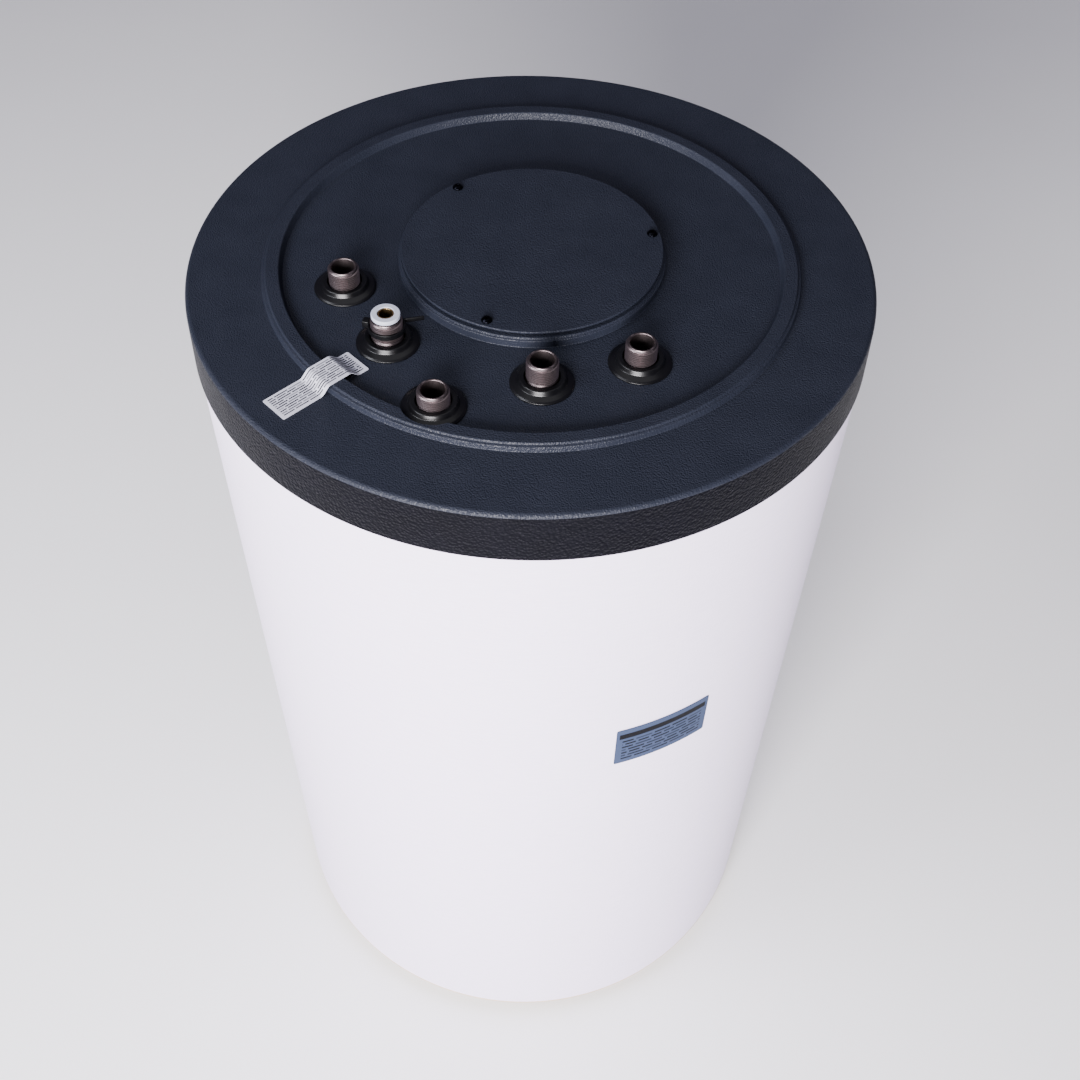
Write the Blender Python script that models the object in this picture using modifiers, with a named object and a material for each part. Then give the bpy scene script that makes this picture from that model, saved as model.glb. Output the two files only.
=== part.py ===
"""A floor-standing storage water heater with a heating coil, in metres, +Z up.

A steel vessel stands on a support ring and three levelling feet inside a foamed jacket.
A black moulded lid closes the top, with five pipe ends and a screwed access cover.
The origin is on the floor, under the centre line. Azimuths are degrees from +X towards +Y.
"""

import math

import bmesh
import bpy
from mathutils import Vector

# Whole object
overall_height = 0.969        # floor to the flat top of the lid
lid_radius = 0.300            # top edge of the lid
foot_clearance = 0.018        # floor to the underside of the base tray
turn_steps = 36               # facets round each large turned piece
flange_steps = 20             # facets round the neck, gasket and plate
pipe_steps = 16               # facets round the pipe ends and what fits them
screw_steps = 12              # facets round the cover's screws and their holes
bolt_steps = 8                # facets round each flange bolt and its hole
gap = 0.0003                  # between pieces that touch

# Top lid
lid_wall = 0.0015
skirt_height = 0.049
skirt_flare = 0.0015          # how far the skirt spreads on its way down
rim_fillet = 0.004
bead_margin = 0.065           # rim to the raised bead's outer foot
bead_width = 0.018
bead_height = 0.0065
bead_inner_slope = 0.0025
bead_outer_slope = 0.0035
boss_height = 0.0095
boss_draft = 0.001
boss_margin = 0.0015          # the boss's top edge lies this far outside the cover's edge
land_width = 0.0120           # cover edge to the round opening that the cover closes

# Access cover
cover_radius = 0.114
cover_thickness = 0.0018
cover_seal_thickness = 0.0028
cover_seal_inset = 0.004      # cover edge to the foam seal under it
cover_screw_inset = 0.0073    # cover edge to the screws' centres
cover_screw_azimuths = (10, 130, 250)
cover_screw_radius = 0.0017
cover_screw_length = 0.014
cover_screw_head_radius = 0.0047
cover_screw_head_height = 0.0026
cover_foam_thickness = 0.025
cover_foam_clearance = 0.001

# Pipe ends. Four stand a little outside the cover's edge, and one near the bead.
pipe_radius = 0.01345
thread_cut = 0.00025          # pipe surface to the crest of the cut thread
thread_length = 0.0185
bore_radius = 0.00985
thread_chamfer = 0.0017
stub_depth = 0.020            # how far a pipe reaches in below the dome
cover_to_pipe = {"coil_flow": 0.0511, "sensor": 0.0483, "cold_water": 0.0440, "coil_return": 0.0456}
bead_to_hot_pipe = 0.0156
pipe_azimuths = {"coil_flow": 195.1, "sensor": 223.7, "hot_water": 248.0, "cold_water": 273.4,
                 "coil_return": 303.9}
stub_heights = {"coil_flow": 0.0225, "sensor": 0.0260, "hot_water": 0.0190, "cold_water": 0.0255,
                "coil_return": 0.0230}  # lid to the top of each pipe

# Rubber rosettes round the pipes
grommet_radius = 0.0264
grommet_height = 0.008
grommet_edge = 0.0015         # thickness at the rim
grommet_collar_wall = 0.0044
grommet_collar_gap = 0.0012
grommet_spigot_wall = 0.0050
grommet_lip = 0.0018
grommet_recess = 0.0006       # play between a rosette and the pocket cut in the bead

# Sensor pocket in its pipe end
pocket_radius = 0.0067
pocket_wall = 0.0011
pocket_reach = 0.430          # how far the blind brass tube hangs below the lid
bush_radius = 0.012
bush_height = 0.0034
bush_spigot = 0.012
seal_thickness = 0.0010
tie_rise = 0.015              # lid to the underside of the tie
tie_width = 0.0048
tie_thickness = 0.0013
tie_play = 0.00085            # thread to the inside of the tie
tie_head_size = (0.0056, 0.0068, 0.0060)
tie_head_azimuth = 165
tie_tail_width = 0.0040
tie_tail_start = 30           # azimuth at which the tail leaves the band
tie_tail_heading = 14
tie_tail_length = 0.0175

# Jacket, insulation and base
jacket_slide_gap = 0.0005     # lid skirt to jacket
jacket_tuck = 0.010           # how far the jacket runs up inside the skirt
jacket_thickness = 0.0015
insulation_thickness = 0.048
foam_top_chamfer = 0.004
tray_thickness = 0.0025
tray_rim_height = 0.003       # the edge that shows below the jacket
tray_lip_height = 0.030
tray_lip_wall = 0.002

# Vessel
vessel_wall = 0.003
dome_height = 0.090
dome_points = 4
top_seam_drop = 0.154         # lid to the seam of shell and top dome
bottom_seam_rise = 0.117      # base tray to the seam of shell and bottom dome
neck_radius = 0.060
neck_wall = 0.004
neck_rise = 0.015             # dome apex to the underside of the neck's flange
neck_sink = 0.010             # how far the neck reaches in below the dome
flange_radius = 0.090
flange_thickness = 0.012
flange_bolt_circle = 0.075
flange_bolt_count = 8
gasket_thickness = 0.003
flange_plate_thickness = 0.010
flange_well_clearance = 0.012
bolt_radius = 0.006
bolt_length = 0.024
bolt_head_across = 0.019
bolt_head_height = 0.0075
plug_radius = 0.0165
plug_depth = 0.022
plug_head_across = 0.036
plug_head_height = 0.008
anode_radius = 0.013
anode_length = 0.550

# Heating coil
coil_tube_radius = 0.0125
coil_tube_wall = 0.002
coil_wall_clearance = 0.0295  # vessel wall to the coil
coil_dip_clearance = 0.006    # coil to the dip tube, at the least
coil_rise = 0.015             # bottom seam to the middle of the lowest turn
coil_pitch = 0.040
coil_turns = 7
coil_points_per_turn = 11
coil_lead_angle = 38          # degrees of azimuth that each end bend takes
coil_bend_drop = 0.055
coil_handle = 0.070
bracket_width = 0.016
bracket_thickness = 0.004
bracket_azimuths = (90, 210, 330)
bracket_overhang = 0.006

# Cold water dip tube
dip_tube_wall = 0.0015
dip_tube_seat = 0.050         # lid to the top of the tube
dip_tube_floor_gap = 0.035    # bottom seam to the open end, measured downwards

# Support ring and levelling feet
ring_inset = 0.025            # vessel wall to the ring's outer side
ring_wall = 0.003
ring_flange_width = 0.038
foot_inset = 0.018            # ring's outer side to the feet's centres
foot_azimuths = (270, 30, 150)
stud_radius = 0.006
stud_top = 0.052
stud_hole_play = 0.0015
tray_hole_play = 0.0030
nut_across = 0.019
nut_height = 0.010
pad_radius = 0.0225
pad_height = 0.0105
pad_edge = 0.004
pad_neck_radius = 0.0095
pad_floor = 0.005

# Labels
notice_size = (0.028, 0.085)
notice_azimuth = 224.1
notice_clearance = 0.0058      # sensor rosette to the near edge of the notice
notice_thickness = 0.00025
notice_lead = 0.003           # the sheet is up this far before the bead
notice_ramp = 0.010
plate_size = (0.098, 0.058)
plate_azimuth = -64.2
plate_centre_height = 0.626
plate_thickness = 0.0004

# Worked out from the sizes above
tray_top = foot_clearance + tray_thickness
bead_outer = lid_radius - bead_margin
bead_inner = bead_outer - bead_width
boss_top = overall_height + boss_height
boss_hole_radius = cover_radius - land_width
jacket_radius = lid_radius + skirt_flare - lid_wall - jacket_slide_gap
jacket_inner = jacket_radius - jacket_thickness
jacket_top = overall_height - skirt_height + jacket_tuck
jacket_bottom = foot_clearance + tray_rim_height + gap
foam_radius = jacket_inner - gap
foam_top = overall_height - lid_wall - gap
vessel_radius = jacket_inner - insulation_thickness
vessel_inner = vessel_radius - vessel_wall
top_seam = overall_height - top_seam_drop
bottom_seam = foot_clearance + bottom_seam_rise
flange_bottom = top_seam + dome_height + neck_rise
flange_top = flange_bottom + flange_thickness
plate_bottom = flange_top + gasket_thickness + 2 * gap
plate_top = plate_bottom + flange_plate_thickness
well_radius = max(boss_hole_radius, flange_radius + flange_well_clearance)
coil_bottom = bottom_seam + coil_rise
ring_outer = vessel_radius - ring_inset
foot_circle = ring_outer - foot_inset
thread_radius = pipe_radius - thread_cut
grommet_hole_radius = pipe_radius + grommet_spigot_wall + gap
pipe_circles = {name: cover_radius + reach for name, reach in cover_to_pipe.items()}
pipe_circles["hot_water"] = bead_inner - bead_to_hot_pipe
notice_centre_radius = pipe_circles["sensor"] + grommet_radius + notice_clearance + notice_size[1] / 2
coil_chord = math.cos(math.pi / coil_points_per_turn)    # a chord's middle, as a share of the radius
coil_least_radius = pipe_circles["cold_water"] + bore_radius + coil_dip_clearance + coil_tube_radius
coil_radius = max(vessel_inner - coil_wall_clearance - coil_tube_radius, coil_least_radius / coil_chord)


def polar(radius, azimuth, height=0.0):
    """The point at this radius and azimuth from the centre line."""
    turn = math.radians(azimuth)
    return Vector((radius * math.cos(turn), radius * math.sin(turn), height))


pipe_places = {name: polar(pipe_circles[name], azimuth) for name, azimuth in pipe_azimuths.items()}


# Scene and modelling helpers

def new_collection(name):
    collection = bpy.data.collections.new(name)
    bpy.context.scene.collection.children.link(collection)
    return collection


def clear_scene():
    for obj in list(bpy.data.objects):
        bpy.data.objects.remove(obj)


clear_scene()
parts = new_collection("water_heater")
cutters = new_collection("cutters")


def finish_of(name, colour, roughness, metallic=0.0):
    """A Principled material with this linear colour."""
    material = bpy.data.materials.new(name)
    material.use_nodes = True
    shader = material.node_tree.nodes["Principled BSDF"]
    shader.inputs["Base Color"].default_value = (*colour, 1.0)
    shader.inputs["Roughness"].default_value = roughness
    shader.inputs["Metallic"].default_value = metallic
    return material


def black_plastic(name):
    return finish_of(name, (0.018, 0.022, 0.030), 0.55)


def black_rubber(name):
    return finish_of(name, (0.010, 0.010, 0.012), 0.35)


def bare_steel(name):
    return finish_of(name, (0.33, 0.31, 0.30), 0.45, 1.0)


def enamelled_steel(name):
    return finish_of(name, (0.05, 0.09, 0.16), 0.25)


def zinc_steel(name):
    return finish_of(name, (0.55, 0.56, 0.58), 0.35, 1.0)


def blackened_steel(name):
    return finish_of(name, (0.020, 0.020, 0.022), 0.30, 1.0)


def magnesium(name):
    return finish_of(name, (0.46, 0.46, 0.45), 0.60, 1.0)


def brass(name):
    return finish_of(name, (0.62, 0.45, 0.20), 0.30, 1.0)


def foam(name):
    return finish_of(name, (0.78, 0.66, 0.40), 0.9)


def pale_skin(name):
    return finish_of(name, (0.75, 0.73, 0.78), 0.5)


def white_plastic(name):
    return finish_of(name, (0.80, 0.80, 0.82), 0.45)


def beige_plastic(name):
    return finish_of(name, (0.62, 0.52, 0.40), 0.6)


def label_film(name):
    return finish_of(name, (0.60, 0.63, 0.68), 0.35)


def place(name, data, material, collection=None):
    """An object of this data, with its material, in the parts' collection."""
    obj = bpy.data.objects.new(name, data)
    data.materials.append(material(name))
    (collection or parts).objects.link(obj)
    return obj


def as_helper(obj):
    """A cutter or a joining piece: it shapes others and isn't part of the object."""
    parts.objects.unlink(obj)
    cutters.objects.link(obj)
    obj.hide_render = True
    obj.display_type = "WIRE"
    return obj


def mesh_from(name, bm):
    mesh = bpy.data.meshes.new(name)
    bm.to_mesh(mesh)
    bm.free()
    mesh.shade_smooth()
    mesh.set_sharp_from_angle(angle=math.radians(35))
    return mesh


def rounded(corners, steps=2):
    """The closed outline through corners (x, z) or (x, z, fillet radius)."""
    points = []
    for index, corner in enumerate(corners):
        here = Vector(corner[:2])
        if len(corner) == 2:
            points.append(here)
            continue
        to_last = (Vector(corners[index - 1][:2]) - here).normalized()
        to_next = (Vector(corners[(index + 1) % len(corners)][:2]) - here).normalized()
        half_angle = to_last.angle(to_next) / 2
        reach = corner[2] / math.tan(half_angle)
        centre = here + (to_last + to_next).normalized() * corner[2] / math.sin(half_angle)
        first = here + to_last * reach - centre
        last = here + to_next * reach - centre
        for step in range(steps + 1):
            points.append(centre + first.lerp(last, step / steps).normalized() * corner[2])
    return points


def turned(name, outline, material, steps=turn_steps, centre=(0, 0), closed=True):
    """A turned piece. Its outline of (radius, height) runs down the outer side."""
    bm = bmesh.new()
    points = [bm.verts.new((radius, 0, height)) for radius, height in outline]
    for first, second in zip(points, points[1:]):
        bm.edges.new((first, second))
    if closed:
        bm.edges.new((points[-1], points[0]))
    obj = place(name, mesh_from(name, bm), material)
    obj.location = (centre[0], centre[1], 0)
    screw = obj.modifiers.new("turn", "SCREW")
    screw.steps = steps
    screw.render_steps = steps
    screw.use_merge_vertices = True
    screw.merge_threshold = 0.00002
    screw.use_smooth_shade = True
    return obj


def cylinders(name, places, radius, bottom, top, material, segments=16):
    """Upright cylinders at these places, in one mesh."""
    bm = bmesh.new()
    for spot in places:
        made = bmesh.ops.create_cone(bm, cap_ends=True, segments=segments, radius1=radius,
                                     radius2=radius, depth=top - bottom)
        bmesh.ops.translate(bm, verts=made["verts"], vec=(spot[0], spot[1], (bottom + top) / 2))
    return place(name, mesh_from(name, bm), material)


def hole_cutter(name, places, radius, bottom, top, segments=16):
    return as_helper(cylinders(name, places, radius, bottom, top, black_plastic, segments))


def box(name, size, spot, azimuth, material):
    """A block at this spot, turned so that its length lies along the azimuth."""
    bm = bmesh.new()
    bmesh.ops.create_cube(bm, size=1.0)
    bmesh.ops.scale(bm, verts=bm.verts, vec=size)
    obj = place(name, mesh_from(name, bm), material)
    obj.location = spot
    obj.rotation_euler.z = math.radians(azimuth)
    return obj


def boolean(obj, other, operation):
    step = obj.modifiers.new(operation.lower(), "BOOLEAN")
    step.operation = operation
    step.object = other
    return obj


def cut(obj, *others):
    for other in others:
        boolean(obj, other, "DIFFERENCE")
    return obj


def join(obj, *others):
    for other in others:
        boolean(obj, other, "UNION")
    return obj


def hex_head(name, spot, across, bottom, top, material):
    return cylinders(name, [spot], across / math.sqrt(3), bottom, top, material, segments=6)


def dome_rise(radius, rim, height):
    """Height of an elliptical dome above its seam, at this radius."""
    return height * math.sqrt(max(0.0, 1 - (radius / rim) ** 2))


def dome_arc(rim, height, inner_radius):
    """(radius, rise) from the seam inwards to inner_radius, evenly spaced in angle."""
    last = math.acos(inner_radius / rim)
    angles = [last * step / dome_points for step in range(dome_points + 1)]
    return [(rim * math.cos(angle), height * math.sin(angle)) for angle in angles]


def outside(arc, radius):
    """The stretch of an inward-running arc that lies outside this radius."""
    kept = [point for point in arc if point[0] > radius]
    last = Vector(kept[-1])
    after = Vector(arc[len(kept)])
    return kept + [last.lerp(after, (last.x - radius) / (last.x - after.x))]


# Base tray, support ring and feet

def foot_places():
    return [polar(foot_circle, azimuth) for azimuth in foot_azimuths]


def make_base_tray():
    lip_outer = foam_radius
    outline = [
        (0, tray_top),
        (lip_outer - tray_lip_wall, tray_top),
        (lip_outer - tray_lip_wall, tray_top + tray_lip_height),
        (lip_outer, tray_top + tray_lip_height),
        (lip_outer, foot_clearance + tray_rim_height),
        (jacket_radius, foot_clearance + tray_rim_height),
        (jacket_radius, foot_clearance + 0.4 * tray_rim_height),
        (jacket_radius - 0.6 * tray_rim_height, foot_clearance),
        (0, foot_clearance),
    ]
    tray = turned("base_tray", outline, beige_plastic, closed=False)
    cut(tray, hole_cutter("tray_holes", foot_places(), stud_radius + tray_hole_play,
                          foot_clearance - 0.01, tray_top + 0.01))


def make_support_ring():
    bottom = tray_top + gap
    inner = ring_outer - ring_wall

    def under_dome(radius):
        return bottom_seam - dome_rise(radius, vessel_radius, dome_height) - gap

    outline = [
        (inner, under_dome(inner)),
        (ring_outer, under_dome(ring_outer)),
        (ring_outer, bottom),
        (ring_outer - ring_flange_width, bottom),
        (ring_outer - ring_flange_width, bottom + ring_wall),
        (inner, bottom + ring_wall),
    ]
    ring = turned("support_ring", outline, bare_steel)
    cut(ring, hole_cutter("ring_holes", foot_places(), stud_radius + stud_hole_play,
                          bottom - 0.01, bottom + ring_wall + 0.01))
    nut_bottom = bottom + ring_wall + gap
    for number, spot in enumerate(foot_places(), 1):
        nut = hex_head(f"foot_nut_{number}", spot, nut_across, nut_bottom,
                       nut_bottom + nut_height, zinc_steel)
        cut(nut, hole_cutter(f"foot_nut_hole_{number}", [spot], stud_radius + gap,
                             nut_bottom - 0.01, nut_bottom + nut_height + 0.01))


def make_feet():
    pad = rounded([
        (0, pad_floor),
        (stud_radius + gap, pad_floor),
        (stud_radius + gap, pad_height),
        (pad_neck_radius, pad_height),
        (pad_neck_radius + 0.001, pad_height - 0.002),
        (pad_radius, pad_edge, 0.002),
        (pad_radius, 0),
        (0, 0),
    ])
    for number, spot in enumerate(foot_places(), 1):
        turned(f"foot_pad_{number}", pad, black_rubber, pipe_steps, spot, closed=False)
        stud_bottom = pad_floor + gap
        stud = [
            (0, stud_top),
            (stud_radius - 0.001, stud_top),
            (stud_radius, stud_top - 0.001),
            (stud_radius, stud_bottom),
            (0, stud_bottom),
        ]
        turned(f"foot_stud_{number}", stud, zinc_steel, pipe_steps, spot, closed=False)


# Vessel

def make_domes():
    outer = dome_arc(vessel_radius, dome_height, neck_radius + gap)
    inner_height = dome_height - vessel_wall
    inner = dome_arc(vessel_inner, inner_height, neck_radius + gap)
    top = [(radius, top_seam + gap + rise) for radius, rise in reversed(outer)]
    top += [(radius, top_seam + gap + rise) for radius, rise in inner]
    dome = turned("tank_top_dome", top, enamelled_steel)
    pipe_bottom = top_seam - 0.01
    cut(dome, hole_cutter("dome_holes", pipe_places.values(), pipe_radius + gap,
                          pipe_bottom, overall_height))
    outer = dome_arc(vessel_radius, dome_height, 0.0)
    inner = dome_arc(vessel_inner, inner_height, 0.0)
    bottom = [(radius, bottom_seam - gap - rise) for radius, rise in reversed(inner)]
    bottom += [(radius, bottom_seam - gap - rise) for radius, rise in outer]
    turned("tank_bottom_dome", bottom, enamelled_steel, closed=False)


def make_shell():
    outline = [
        (vessel_inner, top_seam),
        (vessel_radius, top_seam),
        (vessel_radius, bottom_seam),
        (vessel_inner, bottom_seam),
    ]
    turned("tank_shell", outline, enamelled_steel)


def bolt_places():
    step = 360 / flange_bolt_count
    return [polar(flange_bolt_circle, step * (number + 0.5)) for number in range(flange_bolt_count)]


def make_flange():
    neck_inner = neck_radius - neck_wall
    neck_bottom = top_seam + dome_rise(neck_radius, vessel_radius, dome_height) - neck_sink
    neck = [
        (neck_inner, flange_top),
        (flange_radius, flange_top),
        (flange_radius, flange_bottom),
        (neck_radius, flange_bottom),
        (neck_radius, neck_bottom),
        (neck_inner, neck_bottom),
    ]
    bolt_holes = hole_cutter("bolt_holes", bolt_places(), bolt_radius + gap,
                             flange_bottom - 0.01, plate_top + 0.01, bolt_steps)
    cut(turned("flange_neck", neck, enamelled_steel, flange_steps), bolt_holes)
    gasket_bottom = flange_top + gap
    gasket = [
        (neck_inner, gasket_bottom + gasket_thickness),
        (flange_radius, gasket_bottom + gasket_thickness),
        (flange_radius, gasket_bottom),
        (neck_inner, gasket_bottom),
    ]
    cut(turned("flange_gasket", gasket, black_rubber, flange_steps), bolt_holes)
    plate = [
        (plug_radius + gap, plate_top),
        (flange_radius, plate_top),
        (flange_radius, plate_bottom),
        (plug_radius + gap, plate_bottom),
    ]
    cut(turned("flange_plate", plate, zinc_steel, flange_steps), bolt_holes)
    head_bottom = plate_top + gap
    for number, spot in enumerate(bolt_places(), 1):
        bolt = hex_head(f"flange_bolt_{number}", spot, bolt_head_across, head_bottom,
                        head_bottom + bolt_head_height, zinc_steel)
        shank = cylinders(f"flange_bolt_shank_{number}", [spot], bolt_radius,
                          head_bottom - bolt_length, head_bottom + bolt_head_height / 2,
                          zinc_steel, bolt_steps)
        join(bolt, as_helper(shank))


def make_anode():
    centre = (0, 0)
    head_bottom = plate_top + gap
    plug_bottom = head_bottom - plug_depth
    plug = hex_head("anode_plug", centre, plug_head_across, head_bottom,
                    head_bottom + plug_head_height, brass)
    body = cylinders("anode_plug_thread", [centre], plug_radius, plug_bottom,
                     head_bottom + plug_head_height / 2, brass, 24)
    join(plug, as_helper(body))
    rod_top = plug_bottom - gap
    rod = [
        (0, rod_top),
        (anode_radius - 0.001, rod_top),
        (anode_radius, rod_top - 0.001),
        (anode_radius, rod_top - anode_length + 0.001),
        (anode_radius - 0.001, rod_top - anode_length),
        (0, rod_top - anode_length),
    ]
    turned("anode_rod", rod, magnesium, pipe_steps, closed=False)


# Heating coil

def coil_height(turned_degrees):
    return coil_bottom + coil_pitch * turned_degrees / 360


def bezier(first, first_handle, last_handle, last, steps):
    """Points on a cubic curve, without its first point."""
    points = []
    for step in range(1, steps + 1):
        t = step / steps
        s = 1 - t
        points.append(s ** 3 * first + 3 * s * s * t * first_handle
                      + 3 * s * t * t * last_handle + t ** 3 * last)
    return points


def coil_route():
    """Down from the return pipe, out to the lowest turn, up the coil and up to the flow pipe."""
    return_azimuth = pipe_azimuths["coil_return"]
    flow_azimuth = pipe_azimuths["coil_flow"]
    start = return_azimuth + coil_lead_angle
    end_of_turns = flow_azimuth - coil_lead_angle - start
    whole = 360 * coil_turns + end_of_turns % 360
    steps = round(whole / 360 * coil_points_per_turn)
    turns = [polar(coil_radius, start + whole * step / steps, coil_height(whole * step / steps))
             for step in range(steps + 1)]
    down = Vector((0, 0, 1))

    def riser(name, height):
        return pipe_places[name] + down * height

    low = riser("coil_return", coil_bottom + coil_bend_drop)
    high = riser("coil_flow", coil_height(whole) + coil_bend_drop)
    along_first = (turns[1] - turns[0]).normalized()
    along_last = (turns[-1] - turns[-2]).normalized()
    out = bezier(low, low - down * coil_handle, turns[0] - along_first * coil_handle, turns[0], 7)
    back = bezier(turns[-1], turns[-1] + along_last * coil_handle, high - down * coil_handle, high, 7)
    return ([riser("coil_return", pipe_end("coil_return") - gap), low] + out + turns[1:] + back
            + [riser("coil_flow", pipe_end("coil_flow") - gap)])


def tube_through(name, route, radius, material, resolution=2):
    """A tube surface with open ends, as a mesh."""
    curve = bpy.data.curves.new(name + "_line", "CURVE")
    curve.dimensions = "3D"
    curve.bevel_depth = radius
    curve.bevel_resolution = resolution
    curve.use_fill_caps = False
    line = curve.splines.new("POLY")
    line.points.add(len(route) - 1)
    for point, place_on_line in zip(line.points, route):
        point.co = (*place_on_line, 1)
    source = bpy.data.objects.new(name + "_line", curve)
    bpy.context.scene.collection.objects.link(source)
    graph = bpy.context.evaluated_depsgraph_get()
    mesh = bpy.data.meshes.new_from_object(source.evaluated_get(graph))
    mesh.name = name
    bm = bmesh.new()
    bm.from_mesh(mesh)
    bmesh.ops.remove_doubles(bm, verts=bm.verts, dist=0.00001)
    bm.to_mesh(mesh)
    bm.free()
    bpy.data.objects.remove(source)
    mesh.shade_smooth()
    return place(name, mesh, material)


def make_coil():
    coil = tube_through("heating_coil", coil_route(), coil_tube_radius, enamelled_steel)
    wall = coil.modifiers.new("wall", "SOLIDIFY")
    wall.thickness = coil_tube_wall
    wall.offset = -1
    wall.use_rim = True


def make_brackets():
    """Flat bars from the shell that the lowest turn rests on."""
    start = pipe_azimuths["coil_return"] + coil_lead_angle
    facet = math.cos(math.pi / turn_steps)
    outer = vessel_inner * facet - gap - bracket_width ** 2 / (8 * vessel_inner)
    inner = coil_radius - bracket_overhang
    for number, azimuth in enumerate(bracket_azimuths, 1):
        lowest = coil_height((azimuth - start) % 360 - 360 * bracket_width / (4 * math.pi * coil_radius))
        top = lowest - coil_tube_radius - 2 * gap
        box(f"coil_bracket_{number}", (outer - inner, bracket_width, bracket_thickness),
            polar((outer + inner) / 2, azimuth, top - bracket_thickness / 2), azimuth, enamelled_steel)


# Pipe ends

def pipe_end(name):
    """Height of a pipe's lower end, inside the top dome."""
    inside = dome_rise(pipe_circles[name], vessel_inner, dome_height - vessel_wall)
    return top_seam + inside - stub_depth


def stub_top(name):
    return overall_height + stub_heights[name]


def make_stubs():
    for name, spot in pipe_places.items():
        top = stub_top(name)
        bottom = pipe_end(name)
        outline = [
            (bore_radius + 0.0005, top),
            (thread_radius - thread_chamfer, top),
            (thread_radius, top - thread_chamfer),
            (thread_radius, top - thread_length),
            (pipe_radius, top - thread_length - 0.0005),
            (pipe_radius, bottom),
            (bore_radius, bottom),
            (bore_radius, top - 0.0005),
        ]
        turned(f"{name}_stub", outline, bare_steel, pipe_steps, spot)


def make_grommets():
    """Rosettes that clip into the lid's holes and stand clear of the pipes at the top."""
    collar_bore = pipe_radius + grommet_collar_gap
    spigot = pipe_radius + grommet_spigot_wall
    base = overall_height + gap
    under_lid = overall_height - lid_wall - gap
    top = overall_height + grommet_height
    outline = rounded([
        (collar_bore, top),
        (collar_bore + grommet_collar_wall, top, 0.0008),
        (grommet_radius, overall_height + grommet_edge),
        (grommet_radius, base),
        (spigot, base),
        (spigot, under_lid),
        (spigot + grommet_lip, under_lid),
        (spigot + grommet_lip * 0.4, under_lid - grommet_lip),
        (pipe_radius + gap, under_lid - grommet_lip),
        (pipe_radius + gap, overall_height + 0.002),
        (collar_bore, overall_height + 0.003),
    ], 1)
    for name, spot in pipe_places.items():
        turned(f"{name}_grommet", outline, black_rubber, pipe_steps, spot)


def make_sensor_pocket():
    spot = pipe_places["sensor"]
    pipe_top = stub_top("sensor")
    seal_bottom = pipe_top + gap
    seal_top = seal_bottom + seal_thickness
    bush_bottom = seal_top + gap
    bush_top = bush_bottom + bush_height
    spigot_radius = bore_radius - gap
    spigot_bottom = pipe_top - bush_spigot
    pocket_top = bush_top - 0.0004
    pocket_bore = pocket_radius - pocket_wall
    pocket_bottom = overall_height - pocket_reach
    seal = [
        (spigot_radius + gap, seal_top),
        (bush_radius - 0.0003, seal_top),
        (bush_radius - 0.0003, seal_bottom),
        (spigot_radius + gap, seal_bottom),
    ]
    turned("pocket_seal", seal, black_rubber, pipe_steps, spot)
    bush = rounded([
        (pocket_radius + gap, bush_top),
        (bush_radius, bush_top, 0.0006),
        (bush_radius, bush_bottom),
        (spigot_radius, bush_bottom),
        (spigot_radius, spigot_bottom),
        (pocket_radius + gap, spigot_bottom),
    ])
    turned("pocket_bush", bush, white_plastic, pipe_steps, spot)
    pocket = [
        (0, pocket_bottom + 0.003),
        (pocket_bore, pocket_bottom + 0.004),
        (pocket_bore, pocket_top),
        (pocket_radius, pocket_top),
        (pocket_radius, pocket_bottom + 0.002),
        (pocket_radius - 0.002, pocket_bottom),
        (0, pocket_bottom),
    ]
    turned("sensor_pocket", pocket, brass, pipe_steps, spot, closed=False)


def make_cable_tie():
    """A band round the sensor pipe, with its head on one side and the cut tail on the other."""
    spot = pipe_places["sensor"]
    bottom = overall_height + tie_rise
    inner = thread_radius + tie_play
    outer = inner + tie_thickness
    band = [
        (inner, bottom + tie_width),
        (outer, bottom + tie_width),
        (outer, bottom),
        (inner, bottom),
    ]
    tie = turned("cable_tie", band, black_plastic, pipe_steps, spot)
    centre = spot + Vector((0, 0, bottom + tie_width / 2))
    head_from = outer - tie_thickness / 2
    head = box("cable_tie_head", tie_head_size,
               centre + polar(head_from + tie_head_size[0] / 2, tie_head_azimuth), tie_head_azimuth,
               black_plastic)
    tail_centre = polar(inner + tie_thickness / 2, tie_tail_start) + polar(tie_tail_length / 2,
                                                                          tie_tail_heading)
    tail = box("cable_tie_tail", (tie_tail_length, tie_thickness, tie_tail_width),
               centre + tail_centre, tie_tail_heading, black_plastic)
    join(tie, as_helper(head), as_helper(tail))


def make_dip_tube():
    outer = bore_radius - gap
    inner = outer - dip_tube_wall
    top = overall_height - dip_tube_seat
    bottom = bottom_seam - dip_tube_floor_gap
    outline = [(inner, top), (outer, top), (outer, bottom), (inner, bottom)]
    turned("cold_dip_tube", outline, white_plastic, pipe_steps, pipe_places["cold_water"])


# Insulation, jacket and labels

def make_insulation():
    lip_inner = foam_radius - tray_lip_wall - gap
    lip_top = tray_top + tray_lip_height + gap
    bottom = tray_top + gap
    inside = vessel_radius + gap
    dome = outside(dome_arc(vessel_radius, dome_height, neck_radius + gap), well_radius - gap)
    outline = [
        (well_radius, foam_top),
        (foam_radius - foam_top_chamfer, foam_top),
        (foam_radius, foam_top - foam_top_chamfer),
        (foam_radius, lip_top),
        (lip_inner, lip_top),
        (lip_inner, bottom),
        (inside, bottom),
    ]
    outline += [(radius + gap, top_seam + 2 * gap + rise) for radius, rise in dome]
    body = turned("insulation", outline, foam)
    spots = list(pipe_places.values())
    around_lip = pipe_radius + grommet_spigot_wall + grommet_lip + 2 * gap
    cut(body,
        hole_cutter("foam_pipe_holes", spots, pipe_radius + gap, top_seam, overall_height),
        hole_cutter("foam_rosette_holes", spots, around_lip,
                    foam_top - grommet_lip - 2 * gap, overall_height))


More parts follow.
